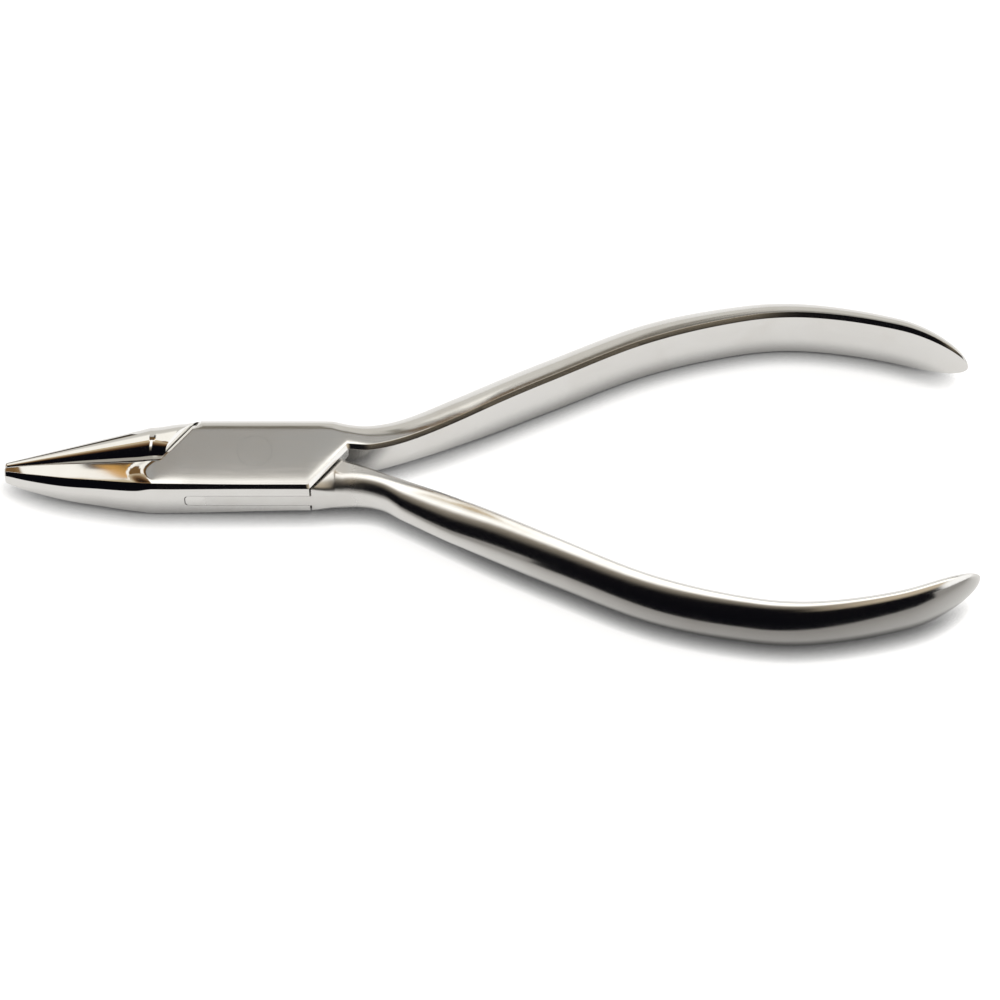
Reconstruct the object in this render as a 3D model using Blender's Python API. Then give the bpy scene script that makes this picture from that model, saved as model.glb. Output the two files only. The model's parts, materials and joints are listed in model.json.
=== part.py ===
"""Round-and-pyramid beak orthodontic pliers with a boxed lock, closed and lying flat.

Frame: the origin is on the joint axis, on the lower face of the lock. +X runs to the handles,
+Y to the far handle and +Z up. Both halves are lofted along X: at each station a ring of points
follows the plan outline of the half and the height of its rounded or bevelled edges.
"""
import math

import bmesh
import bpy

MM = 0.001

# Lock
LOCK_WIDTH = 11.5 * MM
LOCK_THICKNESS = 7.6 * MM
TENON_THICKNESS = 2.5 * MM
JAW_OFFSET = 1.05 * MM          # the jaws meet this far to the near side of the joint axis
CROTCH_LEVEL = 0.7 * MM         # inner face of the far handle where it leaves the lock
SHOULDER_ANGLE = math.radians(50.5)
SHOULDER_REACH = 9.5 * MM      # joint axis to each diagonal edge of the box
SLOT_END = 9.6 * MM           # joint axis to the closed end of the slot, along X
LOCK_EDGE = 0.48 * MM
LOCK_EDGE_JAW = 0.6 * MM         # the same upper near edge where the pyramid beak starts
LOW_EDGE_JAW = 0.28 * MM        # lower near edge, from the pyramid beak to the lock
LOW_EDGE_HANDLE = 1.05 * MM     # the same edge where the lock ends
DIAGONAL_BEVEL = 0.5 * MM       # along the box's diagonals
SHOULDER_BEVEL = 0.75 * MM      # along the tenon half's shoulders that face them
FAR_ROUNDING = 2.2 * MM
LOCK_FAR_END = 10.7 * MM        # where the far side of the lock starts to turn into the handle
LOCK_NEAR_END = 8.3 * MM         # the same on the near side
TENON_HEEL = 1.0 * MM          # end of the tenon to the inner face of its handle
SLOT_CORNER = 0.7 * MM          # radius along the edges of the slot's end walls

# Fits
SLIP_GAP = 0.05 * MM            # tenon to each cheek of the mortise, and tenon bore to rivet
END_GAP = 0.1 * MM              # tenon ends to the swept end walls
SHOULDER_GAP = 0.2 * MM
JAW_GAP = 0.04 * MM
SEAT_GAP = 0.02 * MM            # rivet to the box it is peened into
RELIEF = 0.05 * MM              # ground back along the neck of the tenon

# Rivet
RIVET_RADIUS = 1.8 * MM
RIVET_HEAD_RADIUS = 2.4 * MM
RIVET_HEAD_DEPTH = 0.7 * MM

# Beaks
JAW_LENGTH = 34.7 * MM          # joint axis to tip
PYRAMID_TIP_WIDTH = 1.2 * MM
PYRAMID_TIP_HEIGHT = 2.4 * MM
PYRAMID_ROOT_HEIGHT = 7.15 * MM
PYRAMID_LENGTH = 20.7 * MM      # tip to lock
PYRAMID_EDGE = 0.87 * MM
PYRAMID_TIP_EDGE = 0.45 * MM
PYRAMID_INNER_BEVEL = 0.2 * MM
PYRAMID_SWELL = 0.66            # under 1 makes the beak fuller than a straight taper
SADDLE_LENGTH = 2.7 * MM        # hollow that drops from the lock's face to the beak
CONE_TIP_DIAMETER = 1.2 * MM
CONE_ROOT_DIAMETER = 6.5 * MM
CONE_LENGTH = 20.1 * MM
ROOT_NEAR_ROUNDING = 2.4 * MM
ROOT_FAR_ROUNDING = 3.0 * MM
ROOT_SET_BACK = 0.05 * MM       # root of the round beak lies this far below the lock's face
ROOT_BLEND = 4.5 * MM

# Shares of the pyramid beak's length and width, and where its near edge is fully grown
PYRAMID_WIDTH_SHARES = ((0.0, 0.0), (0.155, 0.285), (0.4, 0.61), (0.625, 0.79), (0.82, 0.94),
                        (0.93, 0.99), (1.0, 1.0))
EDGE_GROWTH_SHARE = 0.45

# Handles
HANDLE_LENGTH = 99.5 * MM       # joint axis to end
HANDLE_BOW = 22.3 * MM          # closing line to inner face, where the handles stand widest
HANDLE_DEPTH = 5.35 * MM        # inner face to the crest of the D, behind the lock
HANDLE_WIDTH = 10.1 * MM        # along the joint axis, in the palm
HANDLE_WAIST = 6.7 * MM         # the same, just behind the lock
HANDLE_EDGE = 0.57 * MM
HANDLE_END = 9.3 * MM           # length of the rounded spoon end
SPOON_FLAT = 0.02 * MM          # trimmed off the very end
PALM_HOLLOW = 0.6 * MM          # the near handle's inner face is ground this much deeper in the palm
ROUNDING_START = 8.9 * MM       # where the far side starts to round towards a D section
ROUNDING_END = 25.4 * MM
NECK_ROUNDING_START = 6.4 * MM  # the same for the near side
NECK_ROUNDING_END = 27.0 * MM
ROUNDING_SPEED = 8              # the near edge turns from a bevel to a round this many times sooner

# Shares of the handle's length, and of HANDLE_BOW, HANDLE_DEPTH and HANDLE_WIDTH
BOW_SHARES = ((0.163, 0.253), (0.322, 0.542), (0.482, 0.818), (0.641, 0.978), (0.745, 1.0),
              (0.881, 0.915), (1.0, 0.757))
DEPTH_SHARES = ((0.163, 1.0), (0.322, 0.98), (0.482, 0.92), (0.641, 0.77), (0.8, 0.655), (1.0, 0.56))
WIDTH_SHARES = ((0.163, 0.74), (0.25, 0.88), (0.41, 0.945), (0.57, 0.98), (0.8, 1.0), (1.0, 0.97))
WAIST_SHARE = 0.085
HOLLOW_START_SHARE = 0.1
HOLLOW_FULL_SHARE = 0.56
HOLLOW_END_SHARE = 0.86

# Fineness
CORNER_STEPS = 6
LATHE_STEPS = 48
ARC_STEPS = 14
RIM_STEPS = 4
TIP_STEPS = 6
BEAK_STEPS = 9
SADDLE_STEPS = 6
CONE_STEPS = 12
NECK_STEPS = 12
PALM_STEPS = 22
SPOON_STEPS = 11
SHARP_ANGLE = math.radians(28)
MERGE_DISTANCE = 0.0004 * MM
CORNER_OVERRUN = math.radians(0.5)

HALF_WIDTH = LOCK_WIDTH / 2
HALF_THICKNESS = LOCK_THICKNESS / 2
SLOT_HALF = TENON_THICKNESS / 2 + SLIP_GAP
SWEEP_RADIUS = math.hypot(SLOT_END, HALF_WIDTH)
TENON_CHAMFER = SLOT_CORNER * (2 - math.sqrt(2)) + END_GAP   # clears the radius along the slot's edges
CUTTER_OVERRUN = DIAGONAL_BEVEL + FAR_ROUNDING   # how far a cutter runs past the face it opens
SIN = math.sin(SHOULDER_ANGLE)
COS = math.cos(SHOULDER_ANGLE)
REACH_ALL = 3 * SWEEP_RADIUS
JAW_LINE = -JAW_OFFSET + JAW_GAP        # near side of the round beak


def clamp(value, low, high):
    return max(low, min(high, value))


def ease(value, start, end):
    """Smooth 0 to 1 between two places along X."""
    share = clamp((value - start) / (end - start), 0.0, 1.0)
    return share * share * (3 - 2 * share)


def mix(first, second, share):
    return first + (second - first) * share


def curve_at(points, x):
    """Read a smooth curve through a few (x, value) points."""
    last = len(points) - 1
    place = clamp(x, points[0][0], points[last][0])
    index = 0
    while index < last - 1 and place > points[index + 1][0]:
        index += 1
    slopes = []
    for end in (index, index + 1):
        before = points[max(end - 1, 0)]
        after = points[min(end + 1, last)]
        slopes.append((after[1] - before[1]) / (after[0] - before[0]))
    (x0, y0), (x1, y1) = points[index], points[index + 1]
    span = x1 - x0
    t = (place - x0) / span
    rise = t * t * (3 - 2 * t)
    return (mix(y0, y1, rise) + span * slopes[0] * t * (1 - t) ** 2
            - span * slopes[1] * t * t * (1 - t))


def left_diagonal(x, reach):
    """Y of the lock's diagonal on the jaw side."""
    return (reach + x * SIN) / COS


def right_diagonal(x, reach):
    """Y of the lock's diagonal on the handle side."""
    return (x * SIN - reach) / COS


def left_crossing(y, reach):
    return (y * COS - reach) / SIN


def right_crossing(y, reach):
    return (y * COS + reach) / SIN


def steps_between(start, end, count):
    """Evenly spaced stations, both ends included."""
    return [mix(start, end, step / count) for step in range(count + 1)]


def easing_steps(start, end, count):
    """Stations that lie closer together at the start."""
    return [mix(start, end, 1 - math.cos(math.pi / 2 * step / count)) for step in range(count + 1)]


# Places along X that both halves share

TIP = -JAW_LENGTH
BEVELLED_REACH = SHOULDER_REACH - DIAGONAL_BEVEL
JAW_CORNER = left_crossing(-JAW_OFFSET, SHOULDER_REACH)
FAR_CORNER = left_crossing(HALF_WIDTH, SHOULDER_REACH)
FAR_FLAT_CORNER = left_crossing(HALF_WIDTH - FAR_ROUNDING, BEVELLED_REACH)
NEAR_CORNER = right_crossing(-HALF_WIDTH, SHOULDER_REACH)
CROTCH = right_crossing(CROTCH_LEVEL, SHOULDER_REACH)
TENON_FOOT = SWEEP_RADIUS + TENON_HEEL
TENON_ARC_END = math.asin(CROTCH_LEVEL / SWEEP_RADIUS)
PYRAMID_ROOT = TIP + PYRAMID_LENGTH
SADDLE_START = PYRAMID_ROOT - SADDLE_LENGTH
CONE_END = TIP + CONE_LENGTH


def handle_x(share):
    return mix(CROTCH, HANDLE_LENGTH, share)


def end_factor(x):
    """1 along the handle, falling to 0 at its end like an ellipse."""
    share = clamp((x - (HANDLE_LENGTH - HANDLE_END)) / HANDLE_END, 0.0, 1.0)
    return math.sqrt(1 - share * share)


def shared_points(shares, full):
    return [(handle_x(share), full * part) for share, part in shares]


BOW = shared_points(BOW_SHARES, HANDLE_BOW)
DEPTH = shared_points(DEPTH_SHARES, HANDLE_DEPTH)

# Distance from the closing line to the inner face, and to the outer crest, of each handle.
FAR_INNER = [(CROTCH, CROTCH_LEVEL + JAW_OFFSET),
             (mix(CROTCH, BOW[0][0], 0.22), CROTCH_LEVEL + JAW_OFFSET),
             (mix(CROTCH, BOW[0][0], 0.55), BOW[0][1] * 0.54)] + BOW
NEAR_INNER = [(TENON_FOOT, 2 * JAW_GAP),
              (mix(TENON_FOOT, BOW[0][0], 0.33), BOW[0][1] * 0.29)] + BOW
FAR_CREST = HALF_WIDTH + JAW_OFFSET
NEAR_CREST = HALF_WIDTH - JAW_OFFSET
WAISTLINE = BOW[0][1] + DEPTH[0][1]
FAR_OUTER_LEAD = [(LOCK_FAR_END, FAR_CREST),
                  (mix(LOCK_FAR_END, BOW[0][0], 0.16), FAR_CREST * 0.93),
                  (mix(LOCK_FAR_END, BOW[0][0], 0.33), FAR_CREST * 0.955),
                  (mix(LOCK_FAR_END, BOW[0][0], 0.58), WAISTLINE * 0.705)]
NEAR_OUTER_LEAD = [(LOCK_NEAR_END, NEAR_CREST),
                   (mix(LOCK_NEAR_END, BOW[0][0], 0.3), NEAR_CREST * 1.0),
                   (mix(LOCK_NEAR_END, BOW[0][0], 0.49), WAISTLINE * 0.505),
                   (mix(LOCK_NEAR_END, BOW[0][0], 0.64), WAISTLINE * 0.665)]
HALF_HEIGHTS = ([(CROTCH, HALF_THICKNESS), (handle_x(WAIST_SHARE), HANDLE_WAIST / 2)]
                + shared_points(WIDTH_SHARES, HANDLE_WIDTH / 2))


def outer_distance(lead, x):
    """Closing line to the crest of the handle."""
    join = BOW[0][0]
    if x <= join:
        following = (BOW[1][0], BOW[1][1] + DEPTH[1][1])
        return curve_at(lead + [(join, WAISTLINE), following], x)
    thickness = curve_at(DEPTH, x) * end_factor(x)
    return curve_at(BOW, x) + thickness


def handle_half_height(x):
    return curve_at(HALF_HEIGHTS, x) * end_factor(x)


# Plan outlines of the box half: far is +Y, near is -Y


def pyramid_share(x):
    share = clamp((x - TIP) / (PYRAMID_ROOT - TIP), 0.0, 1.0)
    return share ** PYRAMID_SWELL


def inner_bevel(x):
    """Bevel along the inner edges of the pyramid beak, growing to that of the lock."""
    share = clamp((x - TIP) / (JAW_CORNER - TIP), 0.0, 1.0)
    return mix(PYRAMID_INNER_BEVEL, DIAGONAL_BEVEL, share)


def box_half_height(x):
    if x > CROTCH:
        return handle_half_height(x)
    beak = mix(PYRAMID_TIP_HEIGHT, PYRAMID_ROOT_HEIGHT, pyramid_share(x)) / 2
    return mix(beak, HALF_THICKNESS, ease(x, SADDLE_START, PYRAMID_ROOT))


def box_far(x):
    if x > LOCK_FAR_END:
        return outer_distance(FAR_OUTER_LEAD, x) - JAW_OFFSET
    return clamp(left_diagonal(x, SHOULDER_REACH), -JAW_OFFSET, HALF_WIDTH)


def box_near(x):
    if x > CROTCH:
        return curve_at(FAR_INNER, x) - JAW_OFFSET
    if x < PYRAMID_ROOT:
        share = curve_at(PYRAMID_WIDTH_SHARES, (x - TIP) / PYRAMID_LENGTH)
        width = mix(PYRAMID_TIP_WIDTH, HALF_WIDTH - JAW_OFFSET, share)
        return -JAW_OFFSET - width
    return clamp(right_diagonal(x, SHOULDER_REACH), -HALF_WIDTH, CROTCH_LEVEL)


def rounding_share(x):
    return ease(x, ROUNDING_START, ROUNDING_END)


def box_far_edge(x):
    """Width, drop and roundness of the far edges."""
    if x < FAR_FLAT_CORNER:
        flat = max(left_diagonal(x, BEVELLED_REACH), -JAW_OFFSET - inner_bevel(x))
        return box_far(x) - flat, inner_bevel(x), 0.0
    if x < FAR_CORNER:
        share = (x - FAR_FLAT_CORNER) / (FAR_CORNER - FAR_FLAT_CORNER)
        drop = mix(DIAGONAL_BEVEL, FAR_ROUNDING, share)
        return box_far(x) - (HALF_WIDTH - FAR_ROUNDING), drop, share
    share = rounding_share(x)
    full = box_far(x) - box_near(x) - handle_edge(x)
    return mix(FAR_ROUNDING, full, share), mix(FAR_ROUNDING, box_half_height(x), share), 1.0


def handle_edge(x):
    return HANDLE_EDGE * end_factor(x)


def beak_edge(x):
    """Upper near edge of the pyramid beak, soon grown to its full width."""
    left = 1 - clamp((x - TIP) / (EDGE_GROWTH_SHARE * PYRAMID_LENGTH), 0.0, 1.0)
    return mix(PYRAMID_EDGE, PYRAMID_TIP_EDGE, left * left)


def lock_edge(x):
    return mix(LOCK_EDGE_JAW, LOCK_EDGE, ease(x, PYRAMID_ROOT, 0.0))


def box_near_edge(x):
    if x > CROTCH:
        edge = handle_edge(x)
        return edge, edge, 0.0
    edge = mix(beak_edge(x), lock_edge(x), ease(x, SADDLE_START, PYRAMID_ROOT))
    flat_line = right_diagonal(x, BEVELLED_REACH)
    if flat_line <= -HALF_WIDTH + edge:
        return edge, edge, 0.0
    flat = min(flat_line, CROTCH_LEVEL + HANDLE_EDGE)
    return flat - box_near(x), DIAGONAL_BEVEL, 0.0


def low_edge(x):
    return mix(LOW_EDGE_JAW, LOW_EDGE_HANDLE, ease(x, PYRAMID_ROOT, NEAR_CORNER))


def box_low_edge(x):
    """The lower near edge is finer than the upper one at the beak and broader at the handles."""
    if x > CROTCH:
        return box_near_edge(x)
    edge = low_edge(x)
    flat_line = right_diagonal(x, BEVELLED_REACH)
    if flat_line <= -HALF_WIDTH + edge:
        return edge, edge, 0.0
    flat = min(flat_line, CROTCH_LEVEL + HANDLE_EDGE)
    share = ease(flat_line, -HALF_WIDTH + edge, -HALF_WIDTH + 2 * edge)
    return flat - box_near(x), mix(edge, DIAGONAL_BEVEL, share), 0.0


# Plan outlines of the tenon half


def cone_radius(x):
    share = (x - TIP) / CONE_LENGTH
    return mix(CONE_TIP_DIAMETER, CONE_ROOT_DIAMETER, share) / 2


def root_share(x):
    return ease(x, CONE_END, CONE_END + ROOT_BLEND)


def tenon_half_height(x):
    if x > CROTCH:
        return handle_half_height(x)
    root = mix(cone_radius(CONE_END), HALF_THICKNESS - ROOT_SET_BACK, root_share(x))
    if x < CONE_END:
        return cone_radius(x)
    return mix(root, HALF_THICKNESS, ease(x, FAR_CORNER, 0.0))


def palm_hollow(x):
    rise = ease(x, handle_x(HOLLOW_START_SHARE), handle_x(HOLLOW_FULL_SHARE))
    fall = ease(x, handle_x(HOLLOW_END_SHARE), HANDLE_LENGTH)
    return PALM_HOLLOW * (rise - fall)


def tenon_far(x):
    if x < CONE_END:
        return JAW_LINE + 2 * cone_radius(x)
    if x < 0:
        cone_side = JAW_LINE + 2 * cone_radius(CONE_END)
        return mix(cone_side, HALF_WIDTH, ease(x, CONE_END, FAR_CORNER))
    if x < SWEEP_RADIUS * math.cos(TENON_ARC_END):
        return min(HALF_WIDTH, math.sqrt(SWEEP_RADIUS ** 2 - x * x))
    foot = -JAW_OFFSET - NEAR_INNER[0][1]
    if x < TENON_FOOT:
        arc_x = SWEEP_RADIUS * math.cos(TENON_ARC_END)
        arc_y = SWEEP_RADIUS * math.sin(TENON_ARC_END)
        return mix(arc_y, foot, (x - arc_x) / (TENON_FOOT - arc_x))
    return -JAW_OFFSET - curve_at(NEAR_INNER, x) - palm_hollow(x)


def tenon_near(x):
    if x < -math.sqrt(SWEEP_RADIUS ** 2 - JAW_LINE ** 2):
        return JAW_LINE
    if x < 0:
        return max(-HALF_WIDTH, -math.sqrt(max(SWEEP_RADIUS ** 2 - x * x, 0.0)))
    if x < LOCK_NEAR_END:
        return -HALF_WIDTH
    return -JAW_OFFSET - outer_distance(NEAR_OUTER_LEAD, x)


def tenon_far_edge(x):
    if x < CONE_END:
        return cone_radius(x), cone_radius(x), 1.0
    if x < 0:
        root = mix(cone_radius(CONE_END), ROOT_FAR_ROUNDING, root_share(x))
        radius = mix(root, FAR_ROUNDING, ease(x, CONE_END + ROOT_BLEND, FAR_CORNER))
        return radius, radius, 1.0
    edge = handle_edge(x)
    return edge, edge, 0.0


def neck_share(x):
    """The near edge rounds quickly behind the shoulder and then slows down."""
    left = 1 - clamp((x - NECK_ROUNDING_START) / (NECK_ROUNDING_END - NECK_ROUNDING_START), 0.0, 1.0)
    return 1 - left * left


def tenon_near_edge(x, sharp_edge=LOCK_EDGE):
    if x < CONE_END:
        return cone_radius(x), cone_radius(x), 1.0
    if x < 0:
        radius = mix(cone_radius(CONE_END), ROOT_NEAR_ROUNDING, root_share(x))
        return radius, radius, 1.0
    share = neck_share(x)
    full = tenon_far(x) - tenon_near(x) - handle_edge(x)
    width = mix(sharp_edge, full, share)
    drop = mix(sharp_edge, tenon_half_height(x), share)
    return width, drop, min(1.0, share * ROUNDING_SPEED)


# Lofting


def corner_points(side_y, flat_y, height, drop, roundness):
    """Edge of a section from the side, at height - drop, to the flat, at height."""
    points = []
    for step in range(CORNER_STEPS + 1):
        share = step / CORNER_STEPS
        angle = math.pi / 2 * share
        along = mix(share, 1 - math.cos(angle), roundness)
        rise = mix(share, math.sin(angle), roundness)
        points.append((mix(side_y, flat_y, along), height - drop + drop * rise))
    return points


def half_section(near, far, near_edge, far_edge, height):
    """Upper half of a section, from the far side over the top to the near side, as (y, z) points."""
    near_width, near_drop, near_round = near_edge
    far_width, far_drop, far_round = far_edge
    far_corner = corner_points(far, far - far_width, height, min(far_drop, height), far_round)
    near_corner = corner_points(near, near + near_width, height, min(near_drop, height), near_round)
    return far_corner + near_corner[::-1]


def section(near, far, edges, height):
    """Closed ring of (y, z) points; edges are the near upper, near lower and far ones."""
    near_upper, near_lower, far_edge = edges
    top = half_section(near, far, near_upper, far_edge, height)
    bottom = half_section(near, far, near_lower, far_edge, height)
    return top + [(y, -z) for y, z in reversed(bottom)]


def loft(name, stations, ring_at):
    """Skin the rings at all stations, close both ends and merge what coincides."""
    bm = bmesh.new()
    rings = []
    for x in stations:
        rings.append([bm.verts.new((x, y, z)) for y, z in ring_at(x)])
    count = len(rings[0])
    for ring, following in zip(rings, rings[1:]):
        for index in range(count):
            after = (index + 1) % count
            bm.faces.new((ring[index], ring[after], following[after], following[index]))
    bm.faces.new(rings[0][::-1])
    bm.faces.new(rings[-1])
    bmesh.ops.remove_doubles(bm, verts=bm.verts, dist=MERGE_DISTANCE)
    bmesh.ops.recalc_face_normals(bm, faces=bm.faces)
    return new_object(name, bm)


def new_object(name, bm):
    mesh = bpy.data.meshes.new(name)
    bm.to_mesh(mesh)
    bm.free()
    piece = bpy.data.objects.new(name, mesh)
    bpy.context.scene.collection.objects.link(piece)
    return piece


def prism(outline, low, high):
    """Upright prism on a counter-clockwise plan outline."""
    bm = bmesh.new()
    base = bm.faces.new([bm.verts.new((x, y, low)) for x, y in outline])
    made = bmesh.ops.extrude_face_region(bm, geom=[base])
    raised = [item for item in made["geom"] if isinstance(item, bmesh.types.BMVert)]
    bmesh.ops.translate(bm, verts=raised, vec=(0, 0, high - low))
    bmesh.ops.recalc_face_normals(bm, faces=bm.faces)
    return bm


def skin(bm, rows):
    """Bridge closed rings of points, one after the other, and close both ends."""
    rings = [[bm.verts.new(point) for point in row] for row in rows]
    edges = []
    for ring in rings:
        for index, vert in enumerate(ring):
            edges.append(bm.edges.new((vert, ring[(index + 1) % len(ring)])))
    bmesh.ops.bridge_loops(bm, edges=edges)
    bm.faces.new(rings[0])
    bm.faces.new(rings[-1])
    bmesh.ops.recalc_face_normals(bm, faces=bm.faces)
    return bm


def lathe(profile):
    """Solid of revolution about Z from (radius, z) points."""
    angles = [2 * math.pi * step / LATHE_STEPS for step in range(LATHE_STEPS)]
    rows = [[(radius * math.cos(angle), radius * math.sin(angle), z) for angle in angles]
            for radius, z in profile]
    return skin(bmesh.new(), rows)


def cut(piece, cutter):
    cutter.hide_render = True
    cutter.display_type = 'WIRE'
    modifier = piece.modifiers.new(cutter.name, 'BOOLEAN')
    modifier.operation = 'DIFFERENCE'
    modifier.solver = 'EXACT'
    modifier.object = cutter


def arc_points(radius, start, end):
    points = []
    for step in range(ARC_STEPS + 1):
        angle = mix(start, end, step / ARC_STEPS)
        points.append((radius * math.cos(angle), radius * math.sin(angle)))
    return points


# Box half


def jaw_stations():
    fine = easing_steps(TIP, TIP + SADDLE_LENGTH, TIP_STEPS)
    coarse = steps_between(fine[-1], SADDLE_START, BEAK_STEPS)
    return fine + coarse[1:] + steps_between(SADDLE_START, PYRAMID_ROOT, SADDLE_STEPS)[1:]


def handle_stations(start):
    end_start = HANDLE_LENGTH - HANDLE_END
    neck = steps_between(start, BOW[0][0], NECK_STEPS)
    palm = steps_between(BOW[0][0], end_start, PALM_STEPS)
    spoon = [end_start + HANDLE_END * math.sin(math.pi / 2 * step / SPOON_STEPS)
             for step in range(SPOON_STEPS)]
    return neck[:-1] + palm[:-1] + spoon + [HANDLE_LENGTH - SPOON_FLAT]


def box_stations():
    corners = [JAW_CORNER, left_crossing(-JAW_OFFSET - DIAGONAL_BEVEL, BEVELLED_REACH),
               FAR_FLAT_CORNER, FAR_CORNER, ROUNDING_START, LOCK_FAR_END, NEAR_CORNER,
               right_crossing(-HALF_WIDTH + LOCK_EDGE, BEVELLED_REACH),
               right_crossing(CROTCH_LEVEL + HANDLE_EDGE, BEVELLED_REACH)]
    blend = [mix(ROUNDING_START, LOCK_FAR_END, 0.5), mix(LOCK_FAR_END, CROTCH, 0.5)]
    return sorted(jaw_stations() + corners + blend + handle_stations(CROTCH))


def box_ring(x):
    edges = (box_near_edge(x), box_low_edge(x), box_far_edge(x))
    return section(box_near(x), box_far(x), edges, box_half_height(x))


def mortise_outline():
    """Plan of the mortise: the sweep of the tenon's ends, open to both necks."""
    radius = SWEEP_RADIUS + END_GAP
    jaw_level = -JAW_OFFSET - RELIEF
    handle_level = CROTCH_LEVEL + RELIEF
    side = HALF_WIDTH + CUTTER_OVERRUN
    jaw_end = JAW_CORNER - DIAGONAL_BEVEL
    handle_end = CROTCH + DIAGONAL_BEVEL
    top_arc = arc_points(radius, math.asin(handle_level / radius), math.asin(side / radius))
    low_start = math.pi + math.asin(-jaw_level / radius)
    low_arc = arc_points(radius, low_start, math.pi + math.asin(side / radius))
    return ([(handle_end, -side), (handle_end, handle_level)] + top_arc
            + [(jaw_end, side), (jaw_end, jaw_level)] + low_arc)


def make_mortise_cutter():
    """Prism whose end walls are rounded along their upper and lower edges."""
    radius = SWEEP_RADIUS + END_GAP
    bm = prism(mortise_outline(), -SLOT_HALF, SLOT_HALF)
    wall_edges = []
    for edge in bm.edges:
        level = abs(edge.verts[0].co.z - edge.verts[1].co.z) < MERGE_DISTANCE
        on_wall = all(abs(math.hypot(vert.co.x, vert.co.y) - radius) < MERGE_DISTANCE for vert in edge.verts)
        if level and on_wall:
            wall_edges.append(edge)
    bmesh.ops.bevel(bm, geom=wall_edges, offset=SLOT_CORNER, segments=RIM_STEPS, profile=0.5,
                    affect='EDGES', clamp_overlap=False)
    return new_object("mortise_cutter", bm)


def rivet_profile(gap, overrun):
    """Shank with a countersunk head at each end, grown by gap and lengthened by overrun."""
    end = HALF_THICKNESS
    neck = end - RIVET_HEAD_DEPTH
    slope = (RIVET_HEAD_RADIUS - RIVET_RADIUS) / RIVET_HEAD_DEPTH
    rim = RIVET_HEAD_RADIUS + gap + slope * overrun
    upper = [(RIVET_RADIUS + gap, neck), (rim, end + overrun)]
    return [(radius, -z) for radius, z in reversed(upper)] + upper


def make_box_half():
    piece = loft("box_half", box_stations(), box_ring)
    cut(piece, make_mortise_cutter())
    cut(piece, new_object("countersunk_bore_cutter", lathe(rivet_profile(SEAT_GAP, LOCK_EDGE))))
    return piece


# Tenon half


def tenon_stations():
    cone = steps_between(TIP, CONE_END, CONE_STEPS)
    root = steps_between(CONE_END, CONE_END + ROOT_BLEND, SADDLE_STEPS)[1:]
    side_angle = math.asin(HALF_WIDTH / SWEEP_RADIUS)
    low_arc = arc_points(SWEEP_RADIUS, math.pi - math.asin(JAW_LINE / SWEEP_RADIUS), math.pi + side_angle)
    high_arc = arc_points(SWEEP_RADIUS, TENON_ARC_END, side_angle)
    ends = [x for x, y in low_arc + high_arc]
    lock = [FAR_CORNER, FAR_CORNER / 2, 0.0, NEAR_CORNER, LOCK_NEAR_END, ROUNDING_START]
    return sorted(cone + root + ends + lock + handle_stations(TENON_FOOT))


def tenon_ring(x):
    edges = (tenon_near_edge(x), tenon_near_edge(x, low_edge(x)), tenon_far_edge(x))
    return section(tenon_near(x), tenon_far(x), edges, tenon_half_height(x))


def cheek_cutter(name, side):
    """Channel across the lock, along the diagonals, that takes one cheek of the box."""
    floor = TENON_THICKNESS / 2
    reach = SHOULDER_REACH + SHOULDER_GAP
    shelf = HALF_THICKNESS - SHOULDER_BEVEL
    flare = SHOULDER_BEVEL + LOCK_EDGE
    half = [(reach, floor), (reach, shelf), (reach + flare, shelf + flare)]
    outline = half + [(-distance, z) for distance, z in reversed(half)]
    rows = []
    for along in (-REACH_ALL, REACH_ALL):
        rows.append([(along * COS - distance * SIN, along * SIN + distance * COS, side * z)
                     for distance, z in outline])
    return new_object(name, skin(bmesh.new(), rows))


def tenon_corner(name, start, end, side):
    """Chamfer along one edge of the tenon's end, swept about the joint axis."""
    radius = SWEEP_RADIUS
    level = TENON_THICKNESS / 2
    past = TENON_CHAMFER
    profile = [(radius - TENON_CHAMFER - past, level + past), (radius + past, level - TENON_CHAMFER - past),
               (radius + past, level + past)]
    rows = [[(out * math.cos(turn), out * math.sin(turn), side * up) for out, up in profile]
            for turn in steps_between(start, end, ARC_STEPS)]
    return new_object(name, skin(bmesh.new(), rows))


def make_tenon_half():
    piece = loft("tenon_half", tenon_stations(), tenon_ring)
    cut(piece, cheek_cutter("upper_cheek_cutter", 1))
    cut(piece, cheek_cutter("lower_cheek_cutter", -1))
    side_angle = math.asin(HALF_WIDTH / SWEEP_RADIUS)
    ends = {"handle_end": (TENON_ARC_END, side_angle),
            "jaw_end": (math.pi - math.asin(JAW_LINE / SWEEP_RADIUS), math.pi + side_angle)}
    for name, (start, end) in ends.items():
        reach = (start - CORNER_OVERRUN, end + CORNER_OVERRUN)
        cut(piece, tenon_corner(f"{name}_upper_cutter", *reach, 1))
        cut(piece, tenon_corner(f"{name}_lower_cutter", *reach, -1))
    shank = RIVET_RADIUS + SLIP_GAP
    bore = lathe([(shank, -HALF_THICKNESS), (shank, HALF_THICKNESS)])
    cut(piece, new_object("tenon_bore_cutter", bore))
    return piece


# Finish and assembly


def steel(name, colour, roughness):
    material = bpy.data.materials.new(name)
    material.use_nodes = True
    shader = material.node_tree.nodes["Principled BSDF"]
    shader.inputs["Base Color"].default_value = (*colour, 1)
    shader.inputs["Metallic"].default_value = 1.0
    shader.inputs["Roughness"].default_value = roughness
    return material


def finish(piece, material):
    piece.data.materials.append(material)
    piece.data.shade_smooth()
    piece.data.set_sharp_from_angle(angle=SHARP_ANGLE)


def clear_scene():
    for thing in list(bpy.data.objects):
        bpy.data.objects.remove(thing, do_unlink=True)


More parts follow.
